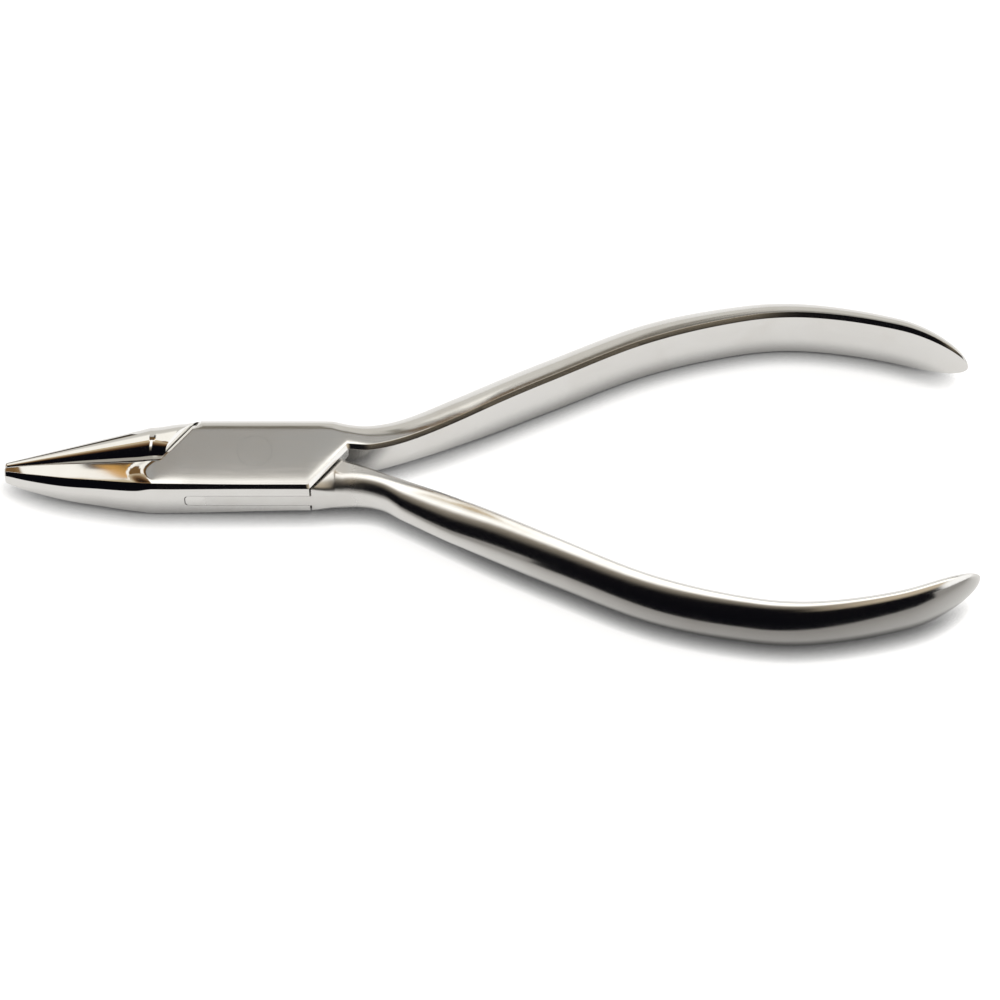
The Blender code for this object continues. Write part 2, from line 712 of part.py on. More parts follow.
def build():
    clear_scene()
    joint_axis = bpy.data.objects.new("joint_axis", None)
    bpy.context.scene.collection.objects.link(joint_axis)
    joint_axis.location = (0, 0, HALF_THICKNESS)
    box = make_box_half()
    tenon = make_tenon_half()
    rivet = new_object("joint_rivet", lathe(rivet_profile(0.0, 0.0)))
    finish(box, steel("satin_steel", (0.60, 0.59, 0.57), 0.24))
    finish(tenon, steel("brushed_steel", (0.58, 0.57, 0.55), 0.28))
    finish(rivet, steel("rivet_steel", (0.62, 0.61, 0.59), 0.22))
    for thing in list(bpy.data.objects):
        if thing is not joint_axis:
            thing.parent = joint_axis


build()
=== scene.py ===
import json
import math

import bmesh
import bpy
from mathutils import Matrix, Vector


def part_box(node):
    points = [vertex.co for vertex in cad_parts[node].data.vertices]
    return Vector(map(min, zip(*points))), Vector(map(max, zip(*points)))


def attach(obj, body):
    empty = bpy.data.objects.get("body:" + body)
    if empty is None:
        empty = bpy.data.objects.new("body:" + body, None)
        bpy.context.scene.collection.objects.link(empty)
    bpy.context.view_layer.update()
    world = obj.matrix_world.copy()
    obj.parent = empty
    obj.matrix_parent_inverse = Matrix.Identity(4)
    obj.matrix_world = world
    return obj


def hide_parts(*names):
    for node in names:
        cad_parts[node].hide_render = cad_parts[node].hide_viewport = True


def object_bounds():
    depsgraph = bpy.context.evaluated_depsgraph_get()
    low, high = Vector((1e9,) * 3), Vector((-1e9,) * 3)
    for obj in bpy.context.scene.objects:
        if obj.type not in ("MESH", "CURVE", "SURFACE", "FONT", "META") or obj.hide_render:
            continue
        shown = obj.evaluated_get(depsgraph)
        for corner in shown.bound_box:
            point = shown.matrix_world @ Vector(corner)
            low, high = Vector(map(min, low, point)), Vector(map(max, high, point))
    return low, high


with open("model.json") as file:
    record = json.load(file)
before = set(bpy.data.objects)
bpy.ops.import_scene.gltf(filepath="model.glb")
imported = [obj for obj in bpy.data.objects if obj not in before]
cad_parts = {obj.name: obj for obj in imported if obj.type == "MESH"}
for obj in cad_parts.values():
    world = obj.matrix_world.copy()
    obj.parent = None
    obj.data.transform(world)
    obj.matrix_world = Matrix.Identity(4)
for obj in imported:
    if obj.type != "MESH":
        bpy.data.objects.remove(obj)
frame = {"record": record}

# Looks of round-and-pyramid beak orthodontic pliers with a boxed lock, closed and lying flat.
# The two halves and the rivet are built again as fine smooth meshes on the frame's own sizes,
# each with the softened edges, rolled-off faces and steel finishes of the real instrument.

cad_low, cad_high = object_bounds()
MM = 0.001

# Sizes read from the frame

box_low, box_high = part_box("box_half")
mount_points = {mount["name"]: Vector(mount["pos_m"]) for mount in frame["record"]["mounts"]}
LOCK_THICKNESS = mount_points["lock_face_upper"].z - mount_points["lock_face_lower"].z
JAW_LENGTH = -box_low.x
HANDLE_LENGTH = box_high.x
HANDLE_WIDTH = box_high.z - box_low.z

# Lock
LOCK_WIDTH = 11.5 * MM
TENON_THICKNESS = 2.5 * MM
JAW_OFFSET = 1.05 * MM
CROTCH_LEVEL = 0.7 * MM
SHOULDER_ANGLE = math.radians(50.5)
SHOULDER_REACH = 9.5 * MM
SLOT_END = 9.6 * MM
LOCK_EDGE = 0.48 * MM
LOCK_EDGE_JAW = 0.6 * MM
LOW_EDGE_JAW = 0.28 * MM
LOW_EDGE_HANDLE = 1.05 * MM
DIAGONAL_BEVEL = 0.5 * MM
SHOULDER_BEVEL = 0.75 * MM
FAR_ROUNDING = 2.2 * MM
LOCK_FAR_END = 10.7 * MM
LOCK_NEAR_END = 8.3 * MM
TENON_HEEL = 1.0 * MM
SLOT_CORNER = 0.7 * MM

# Fits
SLIP_GAP = 0.05 * MM
END_GAP = 0.1 * MM
SHOULDER_GAP = 0.2 * MM
JAW_GAP = 0.04 * MM
SEAT_GAP = 0.02 * MM
RELIEF = 0.05 * MM

# Rivet
RIVET_RADIUS = 1.8 * MM
RIVET_HEAD_RADIUS = 2.4 * MM
RIVET_HEAD_DEPTH = 0.7 * MM

# Beaks
PYRAMID_TIP_WIDTH = 1.2 * MM
PYRAMID_TIP_HEIGHT = 2.4 * MM
PYRAMID_ROOT_HEIGHT = 7.15 * MM
PYRAMID_LENGTH = 20.7 * MM
PYRAMID_EDGE = 0.87 * MM
PYRAMID_TIP_EDGE = 0.45 * MM
PYRAMID_INNER_BEVEL = 0.2 * MM
PYRAMID_SWELL = 0.66
SADDLE_LENGTH = 2.7 * MM
CONE_TIP_DIAMETER = 1.2 * MM
CONE_ROOT_DIAMETER = 6.5 * MM
CONE_LENGTH = 20.1 * MM
ROOT_NEAR_ROUNDING = 2.4 * MM
ROOT_FAR_ROUNDING = 3.0 * MM
ROOT_SET_BACK = 0.05 * MM
ROOT_BLEND = 4.5 * MM
TIP_ROUNDING = 0.22 * MM

# Shares of the pyramid beak's length and width, and where its near edge is fully grown
PYRAMID_WIDTH_SHARES = ((0.0, 0.0), (0.155, 0.285), (0.4, 0.61), (0.625, 0.79), (0.82, 0.94),
                        (0.93, 0.99), (1.0, 1.0))
EDGE_GROWTH_SHARE = 0.45

# Handles
HANDLE_BOW = 22.3 * MM
HANDLE_DEPTH = 5.35 * MM
HANDLE_WAIST = 6.7 * MM
HANDLE_EDGE = 0.57 * MM
HANDLE_END = 9.3 * MM
SPOON_FLAT = 0.02 * MM
PALM_HOLLOW = 0.6 * MM
ROUNDING_START = 8.9 * MM
ROUNDING_END = 25.4 * MM
NECK_ROUNDING_START = 6.4 * MM
NECK_ROUNDING_END = 27.0 * MM
ROUNDING_SPEED = 8

# Shares of the handle's length, and of HANDLE_BOW, HANDLE_DEPTH and HANDLE_WIDTH
BOW_SHARES = ((0.163, 0.253), (0.322, 0.542), (0.482, 0.818), (0.641, 0.978), (0.745, 1.0),
              (0.881, 0.915), (1.0, 0.757))
DEPTH_SHARES = ((0.163, 1.0), (0.322, 0.98), (0.482, 0.92), (0.641, 0.77), (0.8, 0.655), (1.0, 0.56))
WIDTH_SHARES = ((0.163, 0.74), (0.25, 0.88), (0.41, 0.945), (0.57, 0.98), (0.8, 1.0), (1.0, 0.97))
WAIST_SHARE = 0.085

# Lead-ins from the lock to the first bow point: shares of the way there, and of the distance from
# the closing line that each list is named for
FAR_LEVEL_SHARES = ((0.0, 1.0), (0.22, 1.0))
FAR_INNER_SHARES = ((0.55, 0.54),)
NEAR_INNER_SHARES = ((0.33, 0.29),)
FAR_CREST_SHARES = ((0.0, 1.0), (0.16, 0.93), (0.33, 0.955))
FAR_WAIST_SHARES = ((0.58, 0.705),)
NEAR_CREST_SHARES = ((0.0, 1.0), (0.3, 1.0))
NEAR_WAIST_SHARES = ((0.49, 0.505), (0.64, 0.665))

# The hollow on the inside of the near handle
HOLLOW_START_SHARE = 0.1
HOLLOW_FULL_SHARE = 0.56
HOLLOW_END_SHARE = 0.86

# Softness that grinding and polishing leave
EDGE_SOFTNESS = 0.05 * MM
FACE_ROLL_OFF = 0.1 * MM
ROLL_OFF_POWER = 6
END_ROLL_OFF = 0.06 * MM
END_ROLL_LENGTH = 5.0 * MM
SADDLE_BULGE = 1.3 * MM
BEAK_CROWN = 0.05 * MM
CONE_RIM_LENGTH = 0.8 * MM

# Fineness
CORNER_STEPS = 22
FLAT_STEPS = 18
LATHE_STEPS = 96
FACE_RINGS = 8
ARC_STEPS = 40
RIM_STEPS = 6
TIP_STEPS = 10
BEAK_STEPS = 40
SADDLE_STEPS = 18
CONE_STEPS = 44
NECK_STEPS = 60
PALM_STEPS = 90
SPOON_STEPS = 28
SHARP_ANGLE = math.radians(24)
MERGE_DISTANCE = 0.0004 * MM
CORNER_OVERRUN = math.radians(0.5)
CUTTER_LENGTHS = 3
SOFTEST_BEVEL = 0.3
ROUND_PROFILE = 0.5

HALF_WIDTH = LOCK_WIDTH / 2
HALF_THICKNESS = LOCK_THICKNESS / 2
SLOT_HALF = TENON_THICKNESS / 2 + SLIP_GAP
SWEEP_RADIUS = math.hypot(SLOT_END, HALF_WIDTH)
TENON_CHAMFER = SLOT_CORNER * (2 - math.sqrt(2)) + END_GAP
CUTTER_OVERRUN = DIAGONAL_BEVEL + FAR_ROUNDING
SIN = math.sin(SHOULDER_ANGLE)
COS = math.cos(SHOULDER_ANGLE)
CUTTER_REACH = CUTTER_LENGTHS * SWEEP_RADIUS
JAW_LINE = -JAW_OFFSET + JAW_GAP


def clamp(value, low, high):
    return max(low, min(high, value))


def ease(value, start, end):
    """Smooth 0 to 1 between two places along X."""
    share = clamp((value - start) / (end - start), 0.0, 1.0)
    return share * share * (3 - 2 * share)


def mix(first, second, share):
    return first + (second - first) * share


def curve_at(points, x):
    """Read a smooth curve through a few (x, value) points."""
    last = len(points) - 1
    place = clamp(x, points[0][0], points[last][0])
    index = 0
    while index < last - 1 and place > points[index + 1][0]:
        index += 1
    slopes = []
    for end in (index, index + 1):
        before = points[max(end - 1, 0)]
        after = points[min(end + 1, last)]
        slopes.append((after[1] - before[1]) / (after[0] - before[0]))
    (x0, y0), (x1, y1) = points[index], points[index + 1]
    span = x1 - x0
    t = (place - x0) / span
    rise = t * t * (3 - 2 * t)
    return (mix(y0, y1, rise) + span * slopes[0] * t * (1 - t) ** 2
            - span * slopes[1] * t * t * (1 - t))


def left_diagonal(x, reach):
    return (reach + x * SIN) / COS


def right_diagonal(x, reach):
    return (x * SIN - reach) / COS


def left_crossing(y, reach):
    return (y * COS - reach) / SIN


def right_crossing(y, reach):
    return (y * COS + reach) / SIN


def steps_between(start, end, count):
    return [mix(start, end, step / count) for step in range(count + 1)]


def easing_steps(start, end, count):
    return [mix(start, end, 1 - math.cos(math.pi / 2 * step / count)) for step in range(count + 1)]


# Places along X that both halves share

TIP = -JAW_LENGTH
BEVELLED_REACH = SHOULDER_REACH - DIAGONAL_BEVEL
JAW_CORNER = left_crossing(-JAW_OFFSET, SHOULDER_REACH)
FAR_CORNER = left_crossing(HALF_WIDTH, SHOULDER_REACH)
FAR_FLAT_CORNER = left_crossing(HALF_WIDTH - FAR_ROUNDING, BEVELLED_REACH)
NEAR_CORNER = right_crossing(-HALF_WIDTH, SHOULDER_REACH)
CROTCH = right_crossing(CROTCH_LEVEL, SHOULDER_REACH)
TENON_FOOT = SWEEP_RADIUS + TENON_HEEL
TENON_ARC_END = math.asin(CROTCH_LEVEL / SWEEP_RADIUS)
SIDE_ANGLE = math.asin(HALF_WIDTH / SWEEP_RADIUS)
HANDLE_END_ARC = (TENON_ARC_END, SIDE_ANGLE)
JAW_END_ARC = (math.pi - math.asin(JAW_LINE / SWEEP_RADIUS), math.pi + SIDE_ANGLE)
PYRAMID_ROOT = TIP + PYRAMID_LENGTH
SADDLE_START = PYRAMID_ROOT - SADDLE_LENGTH
CONE_END = TIP + CONE_LENGTH


def handle_x(share):
    return mix(CROTCH, HANDLE_LENGTH, share)


def end_factor(x):
    """1 along the handle, falling to 0 at its end like an ellipse."""
    share = clamp((x - (HANDLE_LENGTH - HANDLE_END)) / HANDLE_END, 0.0, 1.0)
    return math.sqrt(1 - share * share)


def shared_points(shares, full):
    return [(handle_x(share), full * part) for share, part in shares]


BOW = shared_points(BOW_SHARES, HANDLE_BOW)
DEPTH = shared_points(DEPTH_SHARES, HANDLE_DEPTH)
BOW_START, FIRST_BOW = BOW[0]
WAISTLINE = FIRST_BOW + DEPTH[0][1]


def lead_in(start, shares, full):
    """Points on the way from the lock's end, at start, to the first bow point."""
    return [(mix(start, BOW_START, share), full * part) for share, part in shares]


FAR_INNER = (lead_in(CROTCH, FAR_LEVEL_SHARES, CROTCH_LEVEL + JAW_OFFSET)
             + lead_in(CROTCH, FAR_INNER_SHARES, FIRST_BOW) + BOW)
NEAR_INNER = [(TENON_FOOT, 2 * JAW_GAP)] + lead_in(TENON_FOOT, NEAR_INNER_SHARES, FIRST_BOW) + BOW
FAR_OUTER_LEAD = (lead_in(LOCK_FAR_END, FAR_CREST_SHARES, HALF_WIDTH + JAW_OFFSET)
                  + lead_in(LOCK_FAR_END, FAR_WAIST_SHARES, WAISTLINE))
NEAR_OUTER_LEAD = (lead_in(LOCK_NEAR_END, NEAR_CREST_SHARES, HALF_WIDTH - JAW_OFFSET)
                   + lead_in(LOCK_NEAR_END, NEAR_WAIST_SHARES, WAISTLINE))
HALF_HEIGHTS = ([(CROTCH, HALF_THICKNESS), (handle_x(WAIST_SHARE), HANDLE_WAIST / 2)]
                + shared_points(WIDTH_SHARES, HANDLE_WIDTH / 2))


def outer_distance(lead, x):
    """Closing line to the crest of the handle."""
    if x <= BOW_START:
        following = (BOW[1][0], BOW[1][1] + DEPTH[1][1])
        return curve_at(lead + [(BOW_START, WAISTLINE), following], x)
    thickness = curve_at(DEPTH, x) * end_factor(x)
    return curve_at(BOW, x) + thickness


def handle_half_height(x):
    return curve_at(HALF_HEIGHTS, x) * end_factor(x)


def tip_inset(x):
    """How far the sides draw in where the beaks' ends are rounded over."""
    share = clamp((TIP + TIP_ROUNDING - x) / TIP_ROUNDING, 0.0, 1.0)
    return TIP_ROUNDING * (1 - math.sqrt(1 - share * share))


# Plan outlines and edges of the box half: far is +Y, near is -Y


def pyramid_share(x):
    share = clamp((x - TIP) / (PYRAMID_ROOT - TIP), 0.0, 1.0)
    return share ** PYRAMID_SWELL


def inner_bevel(x):
    share = clamp((x - TIP) / (JAW_CORNER - TIP), 0.0, 1.0)
    return mix(PYRAMID_INNER_BEVEL, DIAGONAL_BEVEL, share)


def beak_height(x):
    return mix(PYRAMID_TIP_HEIGHT, PYRAMID_ROOT_HEIGHT, pyramid_share(x)) / 2


def saddle_rise(x, shift):
    """Step from the beak up to the lock's face, drawn towards the tip by shift."""
    return (HALF_THICKNESS - beak_height(x)) * ease(x + shift, SADDLE_START, PYRAMID_ROOT)


def box_half_height(x):
    if x > CROTCH:
        return handle_half_height(x)
    return beak_height(x) + saddle_rise(x, 0.0) - tip_inset(x)


def box_far(x):
    if x > LOCK_FAR_END:
        return outer_distance(FAR_OUTER_LEAD, x) - JAW_OFFSET
    return clamp(left_diagonal(x, SHOULDER_REACH), -JAW_OFFSET, HALF_WIDTH) - tip_inset(x)


def box_near(x):
    if x > CROTCH:
        return curve_at(FAR_INNER, x) - JAW_OFFSET
    if x < PYRAMID_ROOT:
        share = curve_at(PYRAMID_WIDTH_SHARES, (x - TIP) / PYRAMID_LENGTH)
        width = mix(PYRAMID_TIP_WIDTH, HALF_WIDTH - JAW_OFFSET, share)
        return -JAW_OFFSET - width + tip_inset(x)
    return clamp(right_diagonal(x, SHOULDER_REACH), -HALF_WIDTH, CROTCH_LEVEL)


def rounding_share(x):
    return ease(x, ROUNDING_START, ROUNDING_END)


def box_far_edge(x):
    """Width, drop and roundness of the far edges."""
    if x < FAR_FLAT_CORNER:
        flat = max(left_diagonal(x, BEVELLED_REACH), -JAW_OFFSET - inner_bevel(x))
        return box_far(x) - flat, inner_bevel(x), 0.0
    if x < FAR_CORNER:
        share = (x - FAR_FLAT_CORNER) / (FAR_CORNER - FAR_FLAT_CORNER)
        drop = mix(DIAGONAL_BEVEL, FAR_ROUNDING, share)
        return box_far(x) - (HALF_WIDTH - FAR_ROUNDING), drop, share
    share = rounding_share(x)
    full = box_far(x) - box_near(x) - handle_edge(x)
    return mix(FAR_ROUNDING, full, share), mix(FAR_ROUNDING, box_half_height(x), share), 1.0


def handle_edge(x):
    return HANDLE_EDGE * end_factor(x)


def beak_edge(x):
    """Upper near edge of the pyramid beak, soon grown to its full width."""
    left = 1 - clamp((x - TIP) / (EDGE_GROWTH_SHARE * PYRAMID_LENGTH), 0.0, 1.0)
    return mix(PYRAMID_EDGE, PYRAMID_TIP_EDGE, left * left)


def lock_edge(x):
    return mix(LOCK_EDGE_JAW, LOCK_EDGE, ease(x, PYRAMID_ROOT, 0.0))


def box_near_edge(x):
    if x > CROTCH:
        edge = handle_edge(x)
        return edge, edge, 0.0
    edge = mix(beak_edge(x), lock_edge(x), ease(x, SADDLE_START, PYRAMID_ROOT))
    flat_line = right_diagonal(x, BEVELLED_REACH)
    if flat_line <= -HALF_WIDTH + edge:
        return edge, edge, 0.0
    flat = min(flat_line, CROTCH_LEVEL + HANDLE_EDGE)
    return flat - box_near(x), DIAGONAL_BEVEL, 0.0


def low_edge(x):
    return mix(LOW_EDGE_JAW, LOW_EDGE_HANDLE, ease(x, PYRAMID_ROOT, NEAR_CORNER))


def box_low_edge(x):
    if x > CROTCH:
        return box_near_edge(x)
    edge = low_edge(x)
    flat_line = right_diagonal(x, BEVELLED_REACH)
    if flat_line <= -HALF_WIDTH + edge:
        return edge, edge, 0.0
    flat = min(flat_line, CROTCH_LEVEL + HANDLE_EDGE)
    share = ease(flat_line, -HALF_WIDTH + edge, -HALF_WIDTH + 2 * edge)
    return flat - box_near(x), mix(edge, DIAGONAL_BEVEL, share), 0.0


# Plan outlines and edges of the tenon half


def cone_radius(x):
    share = (x - TIP) / CONE_LENGTH
    return mix(CONE_TIP_DIAMETER, CONE_ROOT_DIAMETER, share) / 2 - tip_inset(x)


def root_share(x):
    return ease(x, CONE_END, CONE_END + ROOT_BLEND)


def tenon_half_height(x):
    if x > CROTCH:
        return handle_half_height(x)
    root = mix(cone_radius(CONE_END), HALF_THICKNESS - ROOT_SET_BACK, root_share(x))
    if x < CONE_END:
        return cone_radius(x)
    return mix(root, HALF_THICKNESS, ease(x, FAR_CORNER, 0.0))


def palm_hollow(x):
    rise = ease(x, handle_x(HOLLOW_START_SHARE), handle_x(HOLLOW_FULL_SHARE))
    fall = ease(x, handle_x(HOLLOW_END_SHARE), HANDLE_LENGTH)
    return PALM_HOLLOW * (rise - fall)


def tenon_far(x):
    if x < CONE_END:
        return JAW_LINE + 2 * cone_radius(x) + tip_inset(x)
    if x < 0:
        cone_side = JAW_LINE + 2 * cone_radius(CONE_END)
        return mix(cone_side, HALF_WIDTH, ease(x, CONE_END, FAR_CORNER))
    if x < SWEEP_RADIUS * math.cos(TENON_ARC_END):
        return min(HALF_WIDTH, math.sqrt(SWEEP_RADIUS ** 2 - x * x))
    foot = -JAW_OFFSET - NEAR_INNER[0][1]
    if x < TENON_FOOT:
        arc_x = SWEEP_RADIUS * math.cos(TENON_ARC_END)
        arc_y = SWEEP_RADIUS * math.sin(TENON_ARC_END)
        return mix(arc_y, foot, (x - arc_x) / (TENON_FOOT - arc_x))
    return -JAW_OFFSET - curve_at(NEAR_INNER, x) - palm_hollow(x)


def tenon_near(x):
    if x < -math.sqrt(SWEEP_RADIUS ** 2 - JAW_LINE ** 2):
        return JAW_LINE + tip_inset(x)
    if x < 0:
        return max(-HALF_WIDTH, -math.sqrt(max(SWEEP_RADIUS ** 2 - x * x, 0.0)))
    if x < LOCK_NEAR_END:
        return -HALF_WIDTH
    return -JAW_OFFSET - outer_distance(NEAR_OUTER_LEAD, x)


def tenon_far_edge(x):
    if x < CONE_END:
        return cone_radius(x), cone_radius(x), 1.0
    if x < 0:
        root = mix(cone_radius(CONE_END), ROOT_FAR_ROUNDING, root_share(x))
        radius = mix(root, FAR_ROUNDING, ease(x, CONE_END + ROOT_BLEND, FAR_CORNER))
        return radius, radius, 1.0
    edge = handle_edge(x)
    return edge, edge, 0.0


def neck_share(x):
    """The near edge rounds quickly behind the shoulder and then slows down."""
    left = 1 - clamp((x - NECK_ROUNDING_START) / (NECK_ROUNDING_END - NECK_ROUNDING_START), 0.0, 1.0)
    return 1 - left * left


def tenon_near_edge(x, sharp_edge=LOCK_EDGE):
    if x < CONE_END:
        return cone_radius(x), cone_radius(x), 1.0
    if x < 0:
        radius = mix(cone_radius(CONE_END), ROOT_NEAR_ROUNDING, root_share(x))
        return radius, radius, 1.0
    share = neck_share(x)
    full = tenon_far(x) - tenon_near(x) - handle_edge(x)
    width = mix(sharp_edge, full, share)
    drop = mix(sharp_edge, tenon_half_height(x), share)
    return width, drop, min(1.0, share * ROUNDING_SPEED)


# Lofting with softened edges


def soft_bevel(share, softness):
    """Place on a bevel of unit size whose two ends are rounded over."""
    if share < 0.5:
        t = share * 2
        return softness * t * t, -softness * (1 - t) ** 2 + softness * t * t
    t = 2 - share * 2
    return 1 + softness * (1 - t) ** 2 - softness * t * t, 1 - softness * t * t


def corner_points(side_y, flat_y, height, drop, roundness):
    """Edge of a section from the side, at height - drop, to the flat, at height."""
    softness = clamp(EDGE_SOFTNESS / max(drop, EDGE_SOFTNESS), 0.0, SOFTEST_BEVEL)
    points = []
    for step in range(CORNER_STEPS + 1):
        share = step / CORNER_STEPS
        angle = math.pi / 2 * share
        bevel_along, bevel_rise = soft_bevel(share, softness)
        along = mix(bevel_along, 1 - math.cos(angle), roundness)
        rise = mix(bevel_rise, math.sin(angle), roundness)
        points.append((mix(side_y, flat_y, along), height - drop + drop * rise))
    return points


def half_section(near, far, near_edge, far_edge, height_at):
    """Upper half of a section, from the far side over the top to the near side."""
    near_width, near_drop, near_round = near_edge
    far_width, far_drop, far_round = far_edge
    far_height = height_at(0.0)
    near_height = height_at(1.0)
    far_drop = min(far_drop, far_height)
    near_drop = min(near_drop, near_height)
    far_corner = corner_points(far, far - far_width, far_height, far_drop, far_round)
    near_corner = corner_points(near, near + near_width, near_height, near_drop, near_round)
    start_y = far_corner[-1][0]
    end_y = near_corner[-1][0]
    flat = []
    for step in range(1, FLAT_STEPS):
        share = step / FLAT_STEPS
        flat.append((mix(start_y, end_y, share), height_at(share)))
    return far_corner + flat + near_corner[::-1]


def section(near, far, edges, height_at):
    """Closed ring of (y, z) points; edges are the near upper, near lower and far ones."""
    near_upper, near_lower, far_edge = edges
    top = half_section(near, far, near_upper, far_edge, height_at)
    bottom = half_section(near, far, near_lower, far_edge, height_at)
    return top + [(y, -z) for y, z in reversed(bottom)]


def roll_off(x, share):
    """How far buffing has lowered the lock's face, at a share of the way from far to near edge."""
    jaw_side = ease(x, SADDLE_START, PYRAMID_ROOT + SADDLE_LENGTH)
    handle_side = 1 - ease(x, NEAR_CORNER, CROTCH + END_ROLL_LENGTH)
    side_roll = FACE_ROLL_OFF * jaw_side * handle_side * share ** ROLL_OFF_POWER
    end = clamp((x - CROTCH + END_ROLL_LENGTH) / END_ROLL_LENGTH, 0.0, 1.0)
    fade = 1 - ease(x, CROTCH, CROTCH + 2 * END_ROLL_LENGTH)
    return side_roll + END_ROLL_OFF * end * end * fade


def beak_crown(x, share):
    """Polishing rounds the beak's top a little from side to side."""
    along = 1 - ease(x, SADDLE_START - SADDLE_BULGE, PYRAMID_ROOT)
    reach = clamp((x - TIP) / PYRAMID_LENGTH, 0.0, 1.0)
    return BEAK_CROWN * along * reach * (2 * share - 1) ** 2


def saddle_shift(share):
    """The saddle's edge bows towards the tip midway between the far and near edges."""
    return SADDLE_BULGE * (2 / 3 - (2 * share - 1) ** 2)


def loft(name, stations, ring_at):
    """Skin the rings at all stations, close both ends and merge what coincides."""
    bm = skin([[(x, y, z) for y, z in ring_at(x)] for x in stations])
    bmesh.ops.remove_doubles(bm, verts=bm.verts, dist=MERGE_DISTANCE)
    bmesh.ops.recalc_face_normals(bm, faces=bm.faces)
    return new_object(name, bm)


def add_object(name, data):
    made = bpy.data.objects.new(name, data)
    bpy.context.scene.collection.objects.link(made)
    return made


def new_object(name, bm):
    mesh = bpy.data.meshes.new(name)
    bm.to_mesh(mesh)
    bm.free()
    return add_object(name, mesh)


def prism(outline, low, high):
    """Upright prism on a counter-clockwise plan outline."""
    bm = bmesh.new()
    base = bm.faces.new([bm.verts.new((x, y, low)) for x, y in outline])
    made = bmesh.ops.extrude_face_region(bm, geom=[base])
    raised = [item for item in made["geom"] if isinstance(item, bmesh.types.BMVert)]
    bmesh.ops.translate(bm, verts=raised, vec=(0, 0, high - low))
    bmesh.ops.recalc_face_normals(bm, faces=bm.faces)
    return bm


def skin(rows):
    """Bridge closed rings of points, one after the other, and close both ends."""
    bm = bmesh.new()
    rings = [[bm.verts.new(point) for point in row] for row in rows]
    for ring, following in zip(rings, rings[1:]):
        for index in range(len(ring)):
            after = (index + 1) % len(ring)
            bm.faces.new((ring[index], ring[after], following[after], following[index]))
    bm.faces.new(rings[0])
    bm.faces.new(rings[-1])
    bmesh.ops.recalc_face_normals(bm, faces=bm.faces)
    return bm


def lathe(profile):
    """Solid of revolution about Z from (radius, z) points."""
    angles = [2 * math.pi * step / LATHE_STEPS for step in range(LATHE_STEPS)]
    rows = [[(radius * math.cos(angle), radius * math.sin(angle), z) for angle in angles]
            for radius, z in profile]
    return skin(rows)


def cut(piece, cutter):
    modifier = piece.modifiers.new(cutter.name, 'BOOLEAN')
    modifier.operation = 'DIFFERENCE'
    modifier.solver = 'EXACT'
    modifier.object = cutter


def apply_cuts(piece):
    """Bake the modifiers into the mesh, drop the cutters and lift the piece to its place."""
    cutters = [modifier.object for modifier in piece.modifiers if modifier.type == 'BOOLEAN']
    graph = bpy.context.evaluated_depsgraph_get()
    mesh = bpy.data.meshes.new_from_object(piece.evaluated_get(graph))
    piece.modifiers.clear()
    piece.data = mesh
    for cutter in cutters:
        bpy.data.objects.remove(cutter, do_unlink=True)
    mesh.transform(Matrix.Translation((0, 0, HALF_THICKNESS)))


def arc_points(radius, start, end):
    points = []
    for step in range(ARC_STEPS + 1):
        angle = mix(start, end, step / ARC_STEPS)
        points.append((radius * math.cos(angle), radius * math.sin(angle)))
    return points


# Box half


def jaw_stations():
    rounding = easing_steps(TIP, TIP + TIP_ROUNDING, TIP_STEPS)[:-1]
    fine = easing_steps(TIP, TIP + SADDLE_LENGTH, TIP_STEPS)
    coarse = steps_between(fine[-1], SADDLE_START, BEAK_STEPS)
    saddle = steps_between(SADDLE_START, PYRAMID_ROOT, SADDLE_STEPS)
    return rounding + fine[2:] + coarse[1:] + saddle[1:]


def handle_stations(start):
    end_start = HANDLE_LENGTH - HANDLE_END
    neck = steps_between(start, BOW_START, NECK_STEPS)
    palm = steps_between(BOW_START, end_start, PALM_STEPS)
    spoon = [end_start + HANDLE_END * math.sin(math.pi / 2 * step / SPOON_STEPS)
             for step in range(SPOON_STEPS)]
    return neck[:-1] + palm[:-1] + spoon + [HANDLE_LENGTH - SPOON_FLAT]


def box_stations():
    corners = [JAW_CORNER, left_crossing(-JAW_OFFSET - DIAGONAL_BEVEL, BEVELLED_REACH),
               FAR_FLAT_CORNER, FAR_CORNER, ROUNDING_START, LOCK_FAR_END, NEAR_CORNER,
               right_crossing(-HALF_WIDTH + LOCK_EDGE, BEVELLED_REACH),
               right_crossing(-HALF_WIDTH + LOW_EDGE_HANDLE, BEVELLED_REACH),
               right_crossing(CROTCH_LEVEL + HANDLE_EDGE, BEVELLED_REACH)]
    lock = steps_between(PYRAMID_ROOT, CROTCH, NECK_STEPS)[1:-1]
    bulge = steps_between(SADDLE_START - SADDLE_BULGE, PYRAMID_ROOT + SADDLE_BULGE, SADDLE_STEPS)
    return sorted(jaw_stations() + corners + lock + bulge + handle_stations(CROTCH))


def box_ring(x):
    def height_at(share):
        if x > CROTCH:
            return box_half_height(x) - roll_off(x, share)
        saddle = beak_height(x) + saddle_rise(x, saddle_shift(share))
        return saddle - beak_crown(x, share) - tip_inset(x) - roll_off(x, share)

    edges = (box_near_edge(x), box_low_edge(x), box_far_edge(x))
    return section(box_near(x), box_far(x), edges, height_at)


